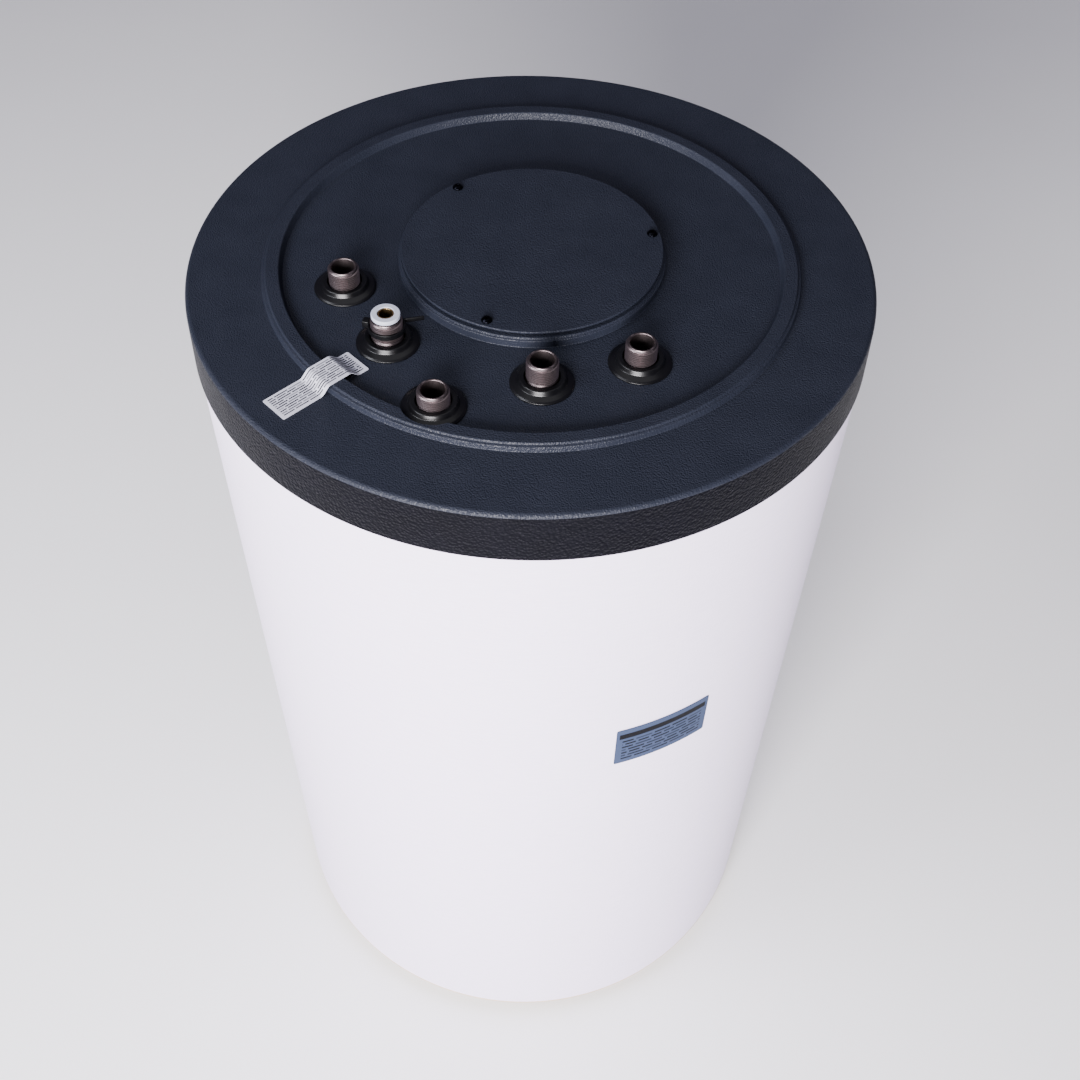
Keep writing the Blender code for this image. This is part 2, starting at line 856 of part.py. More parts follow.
def make_jacket():
    outline = [
        (jacket_inner, jacket_top),
        (jacket_radius, jacket_top),
        (jacket_radius, jacket_bottom),
        (jacket_inner, jacket_bottom),
    ]
    turned("jacket", outline, pale_skin)


def sheet(name, size, divisions, shape, thickness, material):
    """A thin sheet: shape(across, along) bends a flat grid, which then gets its thickness."""
    bm = bmesh.new()
    bmesh.ops.create_grid(bm, x_segments=divisions[0], y_segments=divisions[1], size=0.5)
    for vert in bm.verts:
        vert.co = shape(vert.co.x * size[0], vert.co.y * size[1])
    obj = place(name, mesh_from(name, bm), material)
    wall = obj.modifiers.new("thickness", "SOLIDIFY")
    wall.thickness = thickness
    wall.offset = 1
    return obj


def make_notice_label():
    centre = polar(notice_centre_radius, notice_azimuth)
    inward = -polar(1, notice_azimuth)
    sideways = polar(1, notice_azimuth + 90)

    def drape(across, along):
        point = centre + sideways * across + inward * along
        radius = point.xy.length
        clear = max(bead_inner - notice_lead - radius, radius - bead_outer + bead_outer_slope / 2, 0)
        ramp = max(0.0, 1 - clear / notice_ramp)
        smooth = ramp * ramp * (3 - 2 * ramp)
        point.z = overall_height + gap + bead_height * smooth
        return point

    sheet("notice_label", notice_size, (2, 17), drape, notice_thickness, label_film)


def make_rating_plate():
    radius = jacket_radius + gap

    def wrap(across, along):
        return polar(radius, plate_azimuth + math.degrees(across / radius), plate_centre_height + along)

    sheet("rating_plate", plate_size, (6, 1), wrap, plate_thickness, label_film)


# Lid and access cover

def lid_outline(inset, bottom, axis_radius):
    """The lid's top surface from the boss out to the skirt, moved in by inset.

    The inner side has no small fillets, only the one under the rim.
    """
    top = overall_height - inset
    boss_radius = cover_radius + boss_margin - inset
    corners = [
        (axis_radius, boss_top - inset),
        (boss_radius, boss_top - inset, 0.0018),
        (boss_radius + boss_draft, top, 0.0015),
        (bead_inner + inset, top),
        (bead_inner + bead_inner_slope + inset, top + bead_height, 0.0015),
        (bead_outer - bead_outer_slope - inset, top + bead_height, 0.0025),
        (bead_outer - inset, top),
        (lid_radius - inset, top, rim_fillet - inset),
        (lid_radius + skirt_flare - inset, bottom),
        (axis_radius, bottom),
    ]
    if inset:
        corners = [corner if corner[0] > bead_outer else corner[:2] for corner in corners]
    return rounded(corners, 1 if inset else 2)


def make_lid():
    skirt_bottom = overall_height - skirt_height
    lid = turned("top_lid", lid_outline(0, skirt_bottom, boss_hole_radius), black_plastic)
    overshoot = 0.010
    core_outline = lid_outline(lid_wall, skirt_bottom, 0)
    spread = skirt_flare * overshoot / skirt_height
    core_outline[-2] = Vector((core_outline[-2][0] + spread, skirt_bottom - overshoot))
    core_outline[-1] = Vector((0, skirt_bottom - overshoot))
    core = as_helper(turned("lid_core", core_outline, black_plastic, closed=False))
    spots = list(pipe_places.values())
    recess = grommet_radius + grommet_recess
    above = overall_height + bead_height + 0.01
    step = 0.0002
    cut(core, hole_cutter("recess_core", spots, recess + lid_wall, overall_height - lid_wall + step,
                          above, 32))
    screw_spots = [polar(cover_radius - cover_screw_inset, azimuth)
                   for azimuth in cover_screw_azimuths]
    screw_holes = hole_cutter("cover_screw_holes", screw_spots, cover_screw_radius + gap,
                              boss_top - 0.02, boss_top + 0.02, screw_steps)
    cut(lid,
        hole_cutter("recess", spots, recess, overall_height + step, above, 32),
        core,
        hole_cutter("rosette_holes", spots, grommet_hole_radius, overall_height - 0.01,
                    overall_height + 0.01, 24),
        screw_holes)
    return screw_spots, screw_holes


def make_cover(screw_spots, screw_holes):
    seal_bottom = boss_top + gap
    seal_top = seal_bottom + cover_seal_thickness
    seal_radius = cover_radius - cover_seal_inset
    seal = [
        (boss_hole_radius, seal_top),
        (seal_radius, seal_top),
        (seal_radius, seal_bottom),
        (boss_hole_radius, seal_bottom),
    ]
    cut(turned("cover_seal", seal, black_rubber), screw_holes)
    bottom = seal_top + gap
    top = bottom + cover_thickness
    disc = [
        (0, top),
        (cover_radius - 0.0007, top),
        (cover_radius, top - 0.0007),
        (cover_radius, bottom),
        (0, bottom),
    ]
    cut(turned("access_cover", disc, black_plastic, closed=False), screw_holes)
    foam_radius_here = boss_hole_radius - cover_foam_clearance
    foam_top_here = bottom - gap
    plug = [
        (0, foam_top_here),
        (foam_radius_here, foam_top_here),
        (foam_radius_here, foam_top_here - cover_foam_thickness + 0.003),
        (foam_radius_here - 0.003, foam_top_here - cover_foam_thickness),
        (0, foam_top_here - cover_foam_thickness),
    ]
    turned("cover_insulation", plug, foam, closed=False)
    head_bottom = top + gap
    head_top = head_bottom + cover_screw_head_height
    tip = head_bottom - cover_screw_length
    for number, spot in enumerate(screw_spots, 1):
        screw = [
            (0, head_top),
            (cover_screw_head_radius * 0.55, head_top - 0.0002),
            (cover_screw_head_radius * 0.9, head_top - 0.0010),
            (cover_screw_head_radius, head_bottom + 0.0004),
            (cover_screw_head_radius, head_bottom),
            (cover_screw_radius, head_bottom),
            (cover_screw_radius, tip + 0.002),
            (0, tip),
        ]
        turned(f"cover_screw_{number}", screw, blackened_steel, screw_steps, spot, closed=False)


make_base_tray()
make_support_ring()
make_feet()
make_domes()
make_shell()
make_flange()
make_anode()
make_coil()
make_brackets()
make_stubs()
make_grommets()
make_sensor_pocket()
make_cable_tie()
make_dip_tube()
make_insulation()
make_jacket()
make_notice_label()
make_rating_plate()
make_cover(*make_lid())
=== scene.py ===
import math

import bmesh
import bpy
from mathutils import Matrix, Vector


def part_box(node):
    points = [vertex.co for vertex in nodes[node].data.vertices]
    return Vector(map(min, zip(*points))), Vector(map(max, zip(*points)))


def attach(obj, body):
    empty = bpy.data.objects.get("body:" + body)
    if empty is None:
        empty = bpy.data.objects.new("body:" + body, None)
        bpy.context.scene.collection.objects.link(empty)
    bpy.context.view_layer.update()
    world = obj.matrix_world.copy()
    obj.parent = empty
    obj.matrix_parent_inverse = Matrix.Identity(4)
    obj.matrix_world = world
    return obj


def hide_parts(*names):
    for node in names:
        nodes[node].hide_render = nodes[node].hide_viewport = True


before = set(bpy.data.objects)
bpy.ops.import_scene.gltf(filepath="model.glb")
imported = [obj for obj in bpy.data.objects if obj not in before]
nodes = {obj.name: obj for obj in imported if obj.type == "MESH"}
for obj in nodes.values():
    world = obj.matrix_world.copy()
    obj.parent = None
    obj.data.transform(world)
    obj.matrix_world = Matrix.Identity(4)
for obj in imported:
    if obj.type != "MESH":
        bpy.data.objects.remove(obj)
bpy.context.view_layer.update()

# The view: a person's eye height in front of the heater, looking steeply down on the lid.
# The camera leans by a degree or so, as a hand-held one does.
eye = Vector((0.0, -0.9341, 1.6983))
look_down, look_left, lean = (math.radians(angle) for angle in (49.991, -0.817, 1.515))

camera_data = bpy.data.cameras.new("camera")
camera_data.lens = 44.036
camera_data.sensor_width = 36.0
camera_data.clip_start = 0.01
camera = bpy.data.objects.new("camera", camera_data)
bpy.context.scene.collection.objects.link(camera)
aim = (Matrix.Rotation(look_left, 3, "Z") @ Matrix.Rotation(math.pi / 2 - look_down, 3, "X")
       @ Matrix.Rotation(lean, 3, "Z"))
camera.matrix_world = Matrix.Translation(eye) @ aim.to_4x4()
bpy.context.scene.camera = camera

# The studio: a pale painted floor, one wide soft light in front, weaker ones on each side and
# overhead, and a dim room behind, so that the black lid reflects little.


def colour(hex_value):
    """The linear colour of an sRGB hex value, with alpha."""
    channels = [int(hex_value[start:start + 2], 16) / 255 for start in (1, 3, 5)]
    return [c / 12.92 if c <= 0.04045 else ((c + 0.055) / 1.055) ** 2.4 for c in channels] + [1.0]


def add(tree, kind, values=None, links=None, **settings):
    """Adds a node with these settings, input values and links, and returns it."""
    node = tree.nodes.new(kind)
    for name, value in settings.items():
        setattr(node, name, value)
    for name, value in (values or {}).items():
        node.inputs[name].default_value = value
    for name, socket in (links or {}).items():
        tree.links.new(socket, node.inputs[name])
    return node


def new_finish(name, roughness, metallic=0.0, specular=0.5):
    """A new material's node tree and its shader."""
    material = bpy.data.materials.new(name)
    material.use_nodes = True
    shader = material.node_tree.nodes["Principled BSDF"]
    shader.inputs["Roughness"].default_value = roughness
    shader.inputs["Metallic"].default_value = metallic
    shader.inputs["Specular IOR Level"].default_value = specular
    return material, material.node_tree, shader


def relief(tree, shader, height, strength, distance, **settings):
    """Gives the shader a bump that follows a height socket, this many metres deep."""
    bump = add(tree, "ShaderNodeBump", {"Strength": strength, "Distance": distance},
               {"Height": height}, **settings)
    tree.links.new(bump.outputs[0], shader.inputs["Normal"])


def mottled(name, tones, scale, detail, roughness, metallic=0.0, specular=0.5, harsh=0.5,
            gloss=None, bump=None, grain=None):
    """A finish whose colour wanders between two tones with a noise, and its tree and shader.

    The scale is in noise cells to the metre. Gloss is the range of roughness that goes with the
    tone. Bump is a strength and a depth, and follows the grain's scale and detail where given.
    """
    material, tree, shader = new_finish(name, roughness, metallic, specular)
    place = add(tree, "ShaderNodeTexCoord").outputs["Object"]
    cloud = add(tree, "ShaderNodeTexNoise", {"Scale": scale, "Detail": detail, "Roughness": harsh},
                {"Vector": place})
    tone = add(tree, "ShaderNodeMix", {6: colour(tones[0]), 7: colour(tones[1])},
               {0: cloud.outputs["Fac"]}, data_type="RGBA")
    tree.links.new(tone.outputs[2], shader.inputs["Base Color"])
    if gloss:
        sheen = add(tree, "ShaderNodeMapRange", {"To Min": gloss[0], "To Max": gloss[1]},
                    {"Value": cloud.outputs["Fac"]})
        tree.links.new(sheen.outputs[0], shader.inputs["Roughness"])
    if grain:
        cloud = add(tree, "ShaderNodeTexNoise", {"Scale": grain[0], "Detail": grain[1]},
                    {"Vector": place})
    if bump:
        relief(tree, shader, cloud.outputs["Fac"], *bump)
    return material, tree, shader


def painted_floor():
    """Concrete with pale matt paint, faintly uneven."""
    return mottled("painted_floor", ("#f4f3f5", "#f8f8f9"), 3.0, 3.0, 0.8, specular=0.2)[0]


floor_bm = bmesh.new()
bmesh.ops.create_grid(floor_bm, x_segments=8, y_segments=8, size=6.0)
floor_mesh = bpy.data.meshes.new("floor")
floor_bm.to_mesh(floor_mesh)
floor_bm.free()
floor = bpy.data.objects.new("floor", floor_mesh)
floor_mesh.materials.append(painted_floor())
bpy.context.scene.collection.objects.link(floor)


def soft_light(name, place, target, size, power, tint="#ffffff"):
    """A rectangular area light of so many watts, aimed at a target."""
    data = bpy.data.lights.new(name, "AREA")
    data.shape = "RECTANGLE"
    data.size, data.size_y = size
    data.energy = power
    data.color = colour(tint)[:3]
    light = bpy.data.objects.new(name, data)
    bpy.context.scene.collection.objects.link(light)
    light.location = place
    light.rotation_euler = (Vector(target) - Vector(place)).to_track_quat("-Z", "Y").to_euler()


soft_light("front_softbox", (-0.75, -3.2, 1.8), (0, 0, 0.5), (2.0, 1.4), 520, "#fffcff")
soft_light("left_softbox", (-1.8, -0.9, 2.3), (0, 0, 0.8), (1.0, 1.0), 45, "#f4f6ff")
soft_light("right_softbox", (3.0, -0.8, 1.6), (0, 0, 0.6), (1.0, 1.6), 3, "#f8faff")
soft_light("overhead_softbox", (0.0, 0.3, 4.0), (0, 0, 0), (3.0, 3.0), 25)

world = bpy.data.worlds.new("room")
world.use_nodes = True
world.node_tree.nodes["Background"].inputs["Color"].default_value = colour("#b6b0d6")
world.node_tree.nodes["Background"].inputs["Strength"].default_value = 0.2
bpy.context.scene.world = world

# Levelling feet: three moulded rubber pads on zinc-plated M12 studs, screwed up through nuts
# in the support ring. They turn on their threads to level the heater.
full_turn = 2 * math.pi
smooth_angle = math.radians(32)
stud_radius = 0.006
stud_bottom, stud_top = 0.0055, 0.052
stud_pitch = 0.00175
thread_depth = 0.00107
shank_top = 0.0135
pad_radius = 0.0225
socket_radius = stud_radius + 0.0003


def rounded(corners, segments=5, hold=0.0005):
    """An outline through corners (radius, height) or (radius, height, fillet).

    A point just outside each end of a fillet holds the flat beside it flat.
    """
    points = []
    for index, corner in enumerate(corners):
        here = Vector(corner[:2])
        if len(corner) == 2:
            points.append(here)
            continue
        to_last = (Vector(corners[index - 1][:2]) - here).normalized()
        to_next = (Vector(corners[(index + 1) % len(corners)][:2]) - here).normalized()
        half_angle = to_last.angle(to_next) / 2
        reach = corner[2] / math.tan(half_angle)
        centre = here + (to_last + to_next).normalized() * corner[2] / math.sin(half_angle)
        first = here + to_last * reach - centre
        last = here + to_next * reach - centre
        points.append(here + to_last * (reach + hold))
        for step in range(segments + 1):
            points.append(centre + first.lerp(last, step / segments).normalized() * corner[2])
        points.append(here + to_next * (reach + hold))
    return points


def turned(outline, steps, centre=(0, 0), closed=True):
    """A bmesh of an outline spun a full turn about an upright axis."""
    bm = bmesh.new()
    points = [bm.verts.new((radius, 0, height)) for radius, height in outline]
    lines = [bm.edges.new(pair) for pair in zip(points, points[1:])]
    if closed:
        lines.append(bm.edges.new((points[-1], points[0])))
    bmesh.ops.spin(bm, geom=points + lines, cent=(0, 0, 0), axis=(0, 0, 1), angle=full_turn,
                   steps=steps, use_merge=True)
    bmesh.ops.remove_doubles(bm, verts=bm.verts, dist=0.000002)
    bmesh.ops.recalc_face_normals(bm, faces=bm.faces)
    bmesh.ops.translate(bm, verts=bm.verts, vec=(centre[0], centre[1], 0))
    return bm


def join(bm, other):
    """Adds the other bmesh to this one and frees it."""
    scratch = bpy.data.meshes.new("scratch")
    other.to_mesh(scratch)
    other.free()
    bm.from_mesh(scratch)
    bpy.data.meshes.remove(scratch)


def add_thread(bm, centre, crest, depth, pitch, bottom, top, steps=48, lead_in=0.0):
    """Winds a ridge round an upright core, sunk a little into it and fading out at both ends."""
    turns = (top - bottom) / pitch - 1
    total = round(turns * steps)
    root = crest - depth
    ridge = bmesh.new()
    sunk = root - 0.0003
    corners = [(sunk, -0.46), (root, -0.44), (crest, -0.07), (crest, 0.07), (root, 0.44),
               (sunk, 0.46)]
    points = [ridge.verts.new((radius, 0, bottom + pitch * (0.5 + rise)))
              for radius, rise in corners]
    face = ridge.faces.new(points)
    bmesh.ops.spin(ridge, geom=[face] + points + list(face.edges), cent=(0, 0, 0),
                   axis=(0, 0, 1), dvec=(0, 0, pitch * turns / total), angle=full_turn * turns,
                   steps=total)
    bmesh.ops.recalc_face_normals(ridge, faces=ridge.faces)
    for vert in ridge.verts:
        radius = vert.co.xy.length
        fade = min(1.0, max(0.0, (vert.co.z - bottom) / pitch), max(0.0, (top - vert.co.z) / pitch))
        limit = root + depth * fade
        if lead_in:
            limit = min(limit, crest - max(0.0, vert.co.z - (top - lead_in)))
        if radius > limit:
            vert.co.xy *= limit / radius
    bmesh.ops.translate(ridge, verts=ridge.verts, vec=(centre[0], centre[1], 0))
    join(bm, ridge)


def finished(mesh, finish):
    """Gives a mesh one finish and smooth shading up to a sharp angle."""
    mesh.materials.clear()
    mesh.materials.append(finish)
    mesh.shade_smooth()
    mesh.set_sharp_from_angle(angle=smooth_angle)


def piece(name, source, finish, body, replaced=()):
    """Makes a bmesh or mesh a finished piece that rides on a body and stands for CAD nodes."""
    if isinstance(source, bmesh.types.BMesh):
        mesh = bpy.data.meshes.new(name)
        source.to_mesh(mesh)
        source.free()
    else:
        mesh = source
        mesh.name = name
    finished(mesh, finish)
    obj = bpy.data.objects.new(name, mesh)
    bpy.context.scene.collection.objects.link(obj)
    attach(obj, body)
    if replaced:
        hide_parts(*replaced)
    return obj


def repaint(finish, *names):
    """Gives CAD nodes that keep their shape this finish."""
    for name in names:
        finished(nodes[name].data, finish)


def middle(node):
    """The centre of a CAD node's box."""
    low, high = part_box(node)
    return (low + high) / 2


def moulded_rubber():
    """Black EPDM, press moulded: satin, with a faint bloom and the tool's grain of about 0.5 mm."""
    return mottled("moulded_epdm_rubber", ("#030304", "#08080a"), 90.0, 5.0, 0.22, specular=0.35,
                   gloss=(0.24, 0.38), bump=(0.15, 0.0001), grain=(2000.0, 2.0))[0]


def zinc_plate():
    """Steel with bright zinc plating: grey, with the faint blue and straw clouds of the
    passivation."""
    return mottled("zinc_plated_steel", ("#a9adb4", "#bdb9aa"), 120.0, 4.0, 0.35, metallic=1.0,
                   gloss=(0.25, 0.45))[0]


rubber = moulded_rubber()
zinc = zinc_plate()
foot_centres = [middle(f"foot_pad_{number}") for number in (1, 2, 3)]
for number, foot in enumerate(foot_centres, 1):
    # A socket for the stud, a raised collar round it, and a groove in the sole
    pad = turned(rounded([
        (0, 0.005), (socket_radius, 0.005), (socket_radius, 0.0105), (0.0095, 0.0105, 0.0008),
        (0.0105, 0.0085, 0.0010), (pad_radius, 0.0055, 0.0018), (pad_radius, 0.0, 0.0008),
        (0.0175, 0.0), (0.0170, 0.0012), (0.0160, 0.0012), (0.0155, 0.0), (0, 0),
    ], 3, 0.0002), 64, foot, closed=False)
    piece(f"levelling_pad_{number}", pad, rubber, f"foot_pad_{number}",
          [f"foot_pad_{number}"])
    core = stud_radius - thread_depth
    shank = stud_radius - 0.0002
    stud = turned([(0, stud_top), (core - 0.0006, stud_top), (core, stud_top - 0.0006),
                   (core, shank_top + 0.001), (shank, shank_top), (shank, stud_bottom),
                   (0, stud_bottom)], 32, foot, closed=False)
    add_thread(stud, foot, stud_radius - 0.00005, thread_depth, stud_pitch, shank_top, stud_top,
               24, lead_in=0.001)
    piece(f"levelling_stud_{number}", stud, zinc, f"foot_stud_{number}",
          [f"foot_stud_{number}"])
repaint(zinc, "foot_nut_1", "foot_nut_2", "foot_nut_3")

# Base tray: one injection-moulded beige polypropylene dish. Its upstanding lip holds the foam,
# its edge shows below the jacket, and shallow rings stiffen the underside.
tray_low, tray_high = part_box("base_tray")
tray_radius = tray_high.x
under = tray_low.z
tray_floor = under + 0.0025
lip_radius = 0.2977
lip_inside = lip_radius - 0.002
lip_top = tray_floor + 0.030
rim_top = under + 0.003
ring_radii = (0.262, 0.232, 0.168, 0.120, 0.070)
ring_half, ring_deep = 0.004, 0.0010


def carved(source, *cutters):
    """The mesh left when these bmeshes or meshes are cut from the source."""
    held = []
    for index, shape in enumerate((source,) + cutters):
        if isinstance(shape, bmesh.types.BMesh):
            mesh = bpy.data.meshes.new("blank")
            shape.to_mesh(mesh)
            shape.free()
            shape = mesh
        held.append(bpy.data.objects.new(f"blank_{index}", shape))
        bpy.context.scene.collection.objects.link(held[-1])
        if index:
            step = held[0].modifiers.new("cut", "BOOLEAN")
            step.operation = "DIFFERENCE"
            step.solver = "EXACT"
            step.object = held[-1]
    graph = bpy.context.evaluated_depsgraph_get()
    result = bpy.data.meshes.new_from_object(held[0].evaluated_get(graph))
    for obj in held:
        bpy.data.objects.remove(obj)
    return result


def drill(places, radius, bottom, top, segments=64):
    """Upright cylinders to cut with."""
    bm = bmesh.new()
    for place in places:
        made = bmesh.ops.create_cone(bm, cap_ends=True, segments=segments, radius1=radius,
                                     radius2=radius, depth=top - bottom)
        bmesh.ops.translate(bm, verts=made["verts"], vec=(place[0], place[1], (bottom + top) / 2))
    return bm


def moulded_polypropylene():
    """Beige polypropylene: a spark-eroded mould's matt grain of about 0.6 mm, a little uneven in
    tone."""
    return mottled("moulded_polypropylene", ("#c3ab8c", "#cdb698"), 12.0, 4.0, 0.5, specular=0.4,
                   bump=(0.3, 0.0001), grain=(1600.0, 2.0))[0]


tray_outline = [
    (0, tray_floor), (lip_inside, tray_floor, 0.0015), (lip_inside, lip_top), (lip_radius, lip_top),
    (lip_radius, rim_top), (tray_radius, rim_top, 0.0006), (tray_radius, under, 0.0012),
]
for ring in ring_radii:
    tray_outline += [(ring + ring_half, under), (ring + ring_half - 0.0005, under + ring_deep),
                     (ring - ring_half + 0.0005, under + ring_deep), (ring - ring_half, under)]
tray_outline.append((0, under))
tray = carved(turned(rounded(tray_outline, 3), 160, closed=False),
              drill(foot_centres, stud_radius + 0.003, under - 0.01, tray_floor + 0.01))
piece("base_tray_moulding", tray, moulded_polypropylene(), "tank", ["base_tray"])

# Support ring and vessel: rolled and welded 3 mm steel, blasted and coated with blue glass enamel.
# The ring and the vessel's outside stay bare steel under the foam.


def mill_steel():
    """Hot-rolled steel: dark grey scale with lighter worn patches and a soft sheen."""
    return mottled("mill_steel", ("#5c5a5b", "#8a8582"), 25.0, 8.0, 0.5, metallic=1.0, harsh=0.65,
                   gloss=(0.35, 0.65), bump=(0.2, 0.0005))[0]


def glass_enamel():
    """Fired glass enamel: deep blue, glossy, with the slight orange peel of the fired coat."""
    return mottled("blue_glass_enamel", ("#16283f", "#23405f"), 14.0, 5.0, 0.16, specular=0.6,
                   bump=(0.25, 0.0004), grain=(260.0, 2.0))[0]


enamel = glass_enamel()
repaint(mill_steel(), "support_ring")
repaint(enamel, "tank_shell", "tank_top_dome", "tank_bottom_dome")

# Heating coil: one length of 25 mm steel tube, bent to seven turns, enamelled with the vessel
# and resting on three flat brackets.
repaint(enamel, "heating_coil", "coil_bracket_1", "coil_bracket_2", "coil_bracket_3")

# Cleaning flange: the enamelled neck, a pressed EPDM gasket and a zinc-plated cover plate held
# by eight M12 bolts. They show when the access cover is off.
repaint(enamel, "flange_neck")
gasket_low, gasket_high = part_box("flange_gasket")
plate_low, plate_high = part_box("flange_plate")
neck_bore = 0.056
plug_radius = 0.0165
bolt_shank = 0.0059
bolt_hexagon = 0.0188
washer_radius = 0.0108
washer_low = plate_high.z + 0.0003
washer_top = plate_high.z + 0.0018


def hexagon(bm, centre, across, bottom, top, chamfer):
    """Adds a hexagonal prism with its upper edges chamfered."""
    made = bmesh.ops.create_cone(bm, cap_ends=True, segments=6, radius1=across / math.sqrt(3),
                                 radius2=across / math.sqrt(3), depth=top - bottom)
    bmesh.ops.translate(bm, verts=made["verts"], vec=(centre[0], centre[1], (bottom + top) / 2))
    upper = {edge for vert in made["verts"] for edge in vert.link_edges
             if min(end.co.z for end in edge.verts) > top - 0.0001}
    bmesh.ops.bevel(bm, geom=list(upper), offset=chamfer, segments=2, profile=0.5, affect="EDGES",
                    material=-1)


bolt_spots = [middle(f"flange_bolt_{number}") for number in range(1, 9)]
gasket = carved(turned(rounded([
    (neck_bore, gasket_high.z, 0.0004), (gasket_high.x, gasket_high.z, 0.0009),
    (gasket_high.x, gasket_low.z, 0.0009), (neck_bore, gasket_low.z, 0.0004),
], 3), 96), drill(bolt_spots, 0.0065, gasket_low.z - 0.01, gasket_high.z + 0.01))
piece("pressed_flange_gasket", gasket, rubber, "tank", ["flange_gasket"])
plug_hole = plug_radius + 0.0003
plate = carved(turned(rounded([
    (plug_hole, plate_high.z, 0.0004), (plate_high.x, plate_high.z, 0.0015),
    (plate_high.x, plate_low.z, 0.0006), (plug_hole, plate_low.z),
], 3), 96), drill(bolt_spots, 0.0063, plate_low.z - 0.01, plate_high.z + 0.01))
piece("cleaning_flange_plate", plate, zinc, "tank", ["flange_plate"])
for number, spot in enumerate(bolt_spots, 1):
    low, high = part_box(f"flange_bolt_{number}")
    bolt = turned([(0, high.z - 0.004), (bolt_shank, high.z - 0.004),
                   (bolt_shank, low.z + 0.001), (bolt_shank - 0.001, low.z), (0, low.z)],
                  32, spot, closed=False)
    hexagon(bolt, spot, bolt_hexagon, washer_top, high.z, 0.0011)
    join(bolt, turned([(bolt_shank, washer_top), (washer_radius, washer_top),
                       (washer_radius, washer_low), (bolt_shank, washer_low)], 32, spot))
    piece(f"flange_bolt_with_washer_{number}", bolt, zinc, "tank",
          [f"flange_bolt_{number}"])

# Sacrificial anode: a cast magnesium rod hung from a turned brass plug with a hexagon head.


def turned_brass():
    """Machined brass: warm yellow, bright, with a few dull patches."""
    return mottled("turned_brass", ("#8c7350", "#b59b72"), 160.0, 4.0, 0.28, metallic=1.0,
                   gloss=(0.2, 0.42))[0]


def cast_magnesium():
    """Raw cast magnesium: pale grey, dull, with a coarse cast skin."""
    return mottled("cast_magnesium", ("#8f8f8c", "#b4b4b0"), 400.0, 5.0, 0.6, metallic=1.0,
                   bump=(0.4, 0.0003))[0]


brass = turned_brass()
plug_low, plug_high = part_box("anode_plug")
plug_hexagon = 0.0358
plug_thread_depth = 0.0012
plug_core = plug_radius - plug_thread_depth
plug = turned([(0, plug_high.z - 0.004), (plug_core, plug_high.z - 0.004),
               (plug_core, plug_low.z + 0.001), (plug_radius - 0.0025, plug_low.z),
               (0, plug_low.z)], 64, closed=False)
hexagon(plug, (0, 0), plug_hexagon, washer_low, plug_high.z, 0.0016)
add_thread(plug, (0, 0), plug_radius, plug_thread_depth, 0.0018, plug_low.z + 0.0005,
           plate_high.z)
piece("anode_plug_turned", plug, brass, "tank", ["anode_plug"])
repaint(cast_magnesium(), "anode_rod")

# Pipe ends: five steel pipes welded into the top dome, each with a G 3/4 outside thread and a
# turned chamfer. The sensor pocket sits in one. All are dull brown-grey from the enamelling heat.
pipe_names = ("coil_flow", "sensor", "hot_water", "cold_water", "coil_return")
pipe_radius = 0.01345
thread_crest = 0.01322
thread_root = thread_crest - 0.00116
thread_pitch = 0.001814
thread_length = 0.0183
bore_radius = 0.00985
pipe_spots = {name: middle(f"{name}_stub") for name in pipe_names}


def scaled_pipe_steel():
    """Steel pipe after the enamel kiln: brownish grey scale, rubbed bright on the thread's crests
    and darkened in its roots as painted shade."""
    material, tree, shader = new_finish("kiln_scaled_steel", 0.4, metallic=1.0)
    place = add(tree, "ShaderNodeTexCoord").outputs["Object"]
    scale = add(tree, "ShaderNodeTexNoise", {"Scale": 1100.0, "Detail": 4.0, "Roughness": 0.8},
                {"Vector": place})
    # Pointiness lifts the thread's crests as rubbed wear and darkens its roots as painted shade
    crest = add(tree, "ShaderNodeMapRange", {"From Min": 0.49, "From Max": 0.60, "To Max": 0.6},
                {"Value": add(tree, "ShaderNodeNewGeometry").outputs["Pointiness"]})
    scale_wear_and_root_shade = add(tree, "ShaderNodeMath", {1: 0.5}, {0: scale.outputs["Fac"], 2: crest.outputs[0]},
               operation="MULTIPLY_ADD", use_clamp=True)
    tone = add(tree, "ShaderNodeMix", {6: colour("#120e0f"), 7: colour("#9a8c8d")},
               {0: scale_wear_and_root_shade.outputs[0]}, data_type="RGBA")
    gloss = add(tree, "ShaderNodeMapRange", {"To Min": 0.26, "To Max": 0.52},
                {"Value": scale.outputs["Fac"]})
    tree.links.new(tone.outputs[2], shader.inputs["Base Color"])
    tree.links.new(gloss.outputs[0], shader.inputs["Roughness"])
    relief(tree, shader, scale.outputs["Fac"], 0.35, 0.0002)
    return material


pipe_steel = scaled_pipe_steel()
for name in pipe_names:
    low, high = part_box(f"{name}_stub")
    pipe = turned(rounded([
        (bore_radius + 0.0005, high.z, 0.0003), (thread_root - 0.0006, high.z, 0.0003),
        (thread_root, high.z - 0.0010), (thread_root, high.z - 0.0175),
        (thread_crest, high.z - 0.0190, 0.0003), (pipe_radius, high.z - 0.0195),
        (pipe_radius, low.z), (bore_radius, low.z), (bore_radius, high.z - 0.0006),
    ], 3, 0.00015), 64, pipe_spots[name])
    add_thread(pipe, pipe_spots[name], thread_crest, thread_crest - thread_root, thread_pitch,
               high.z - thread_length, high.z - 0.0004, 64, lead_in=0.0017)
    piece(f"{name}_pipe", pipe, pipe_steel, "tank", [f"{name}_stub"])

# Dip tube: extruded white polypropylene, pushed up into the cold water pipe so that cold water
# enters at the bottom.


def white_polypropylene():
    """White polypropylene: satin, a little grey, with faint flow marks."""
    return mottled("white_polypropylene", ("#a4a8b6", "#b4b8c4"), 150.0, 3.0, 0.38,
                   bump=(0.1, 0.0001))[0]


white_plastic = white_polypropylene()
repaint(white_plastic, "cold_dip_tube")

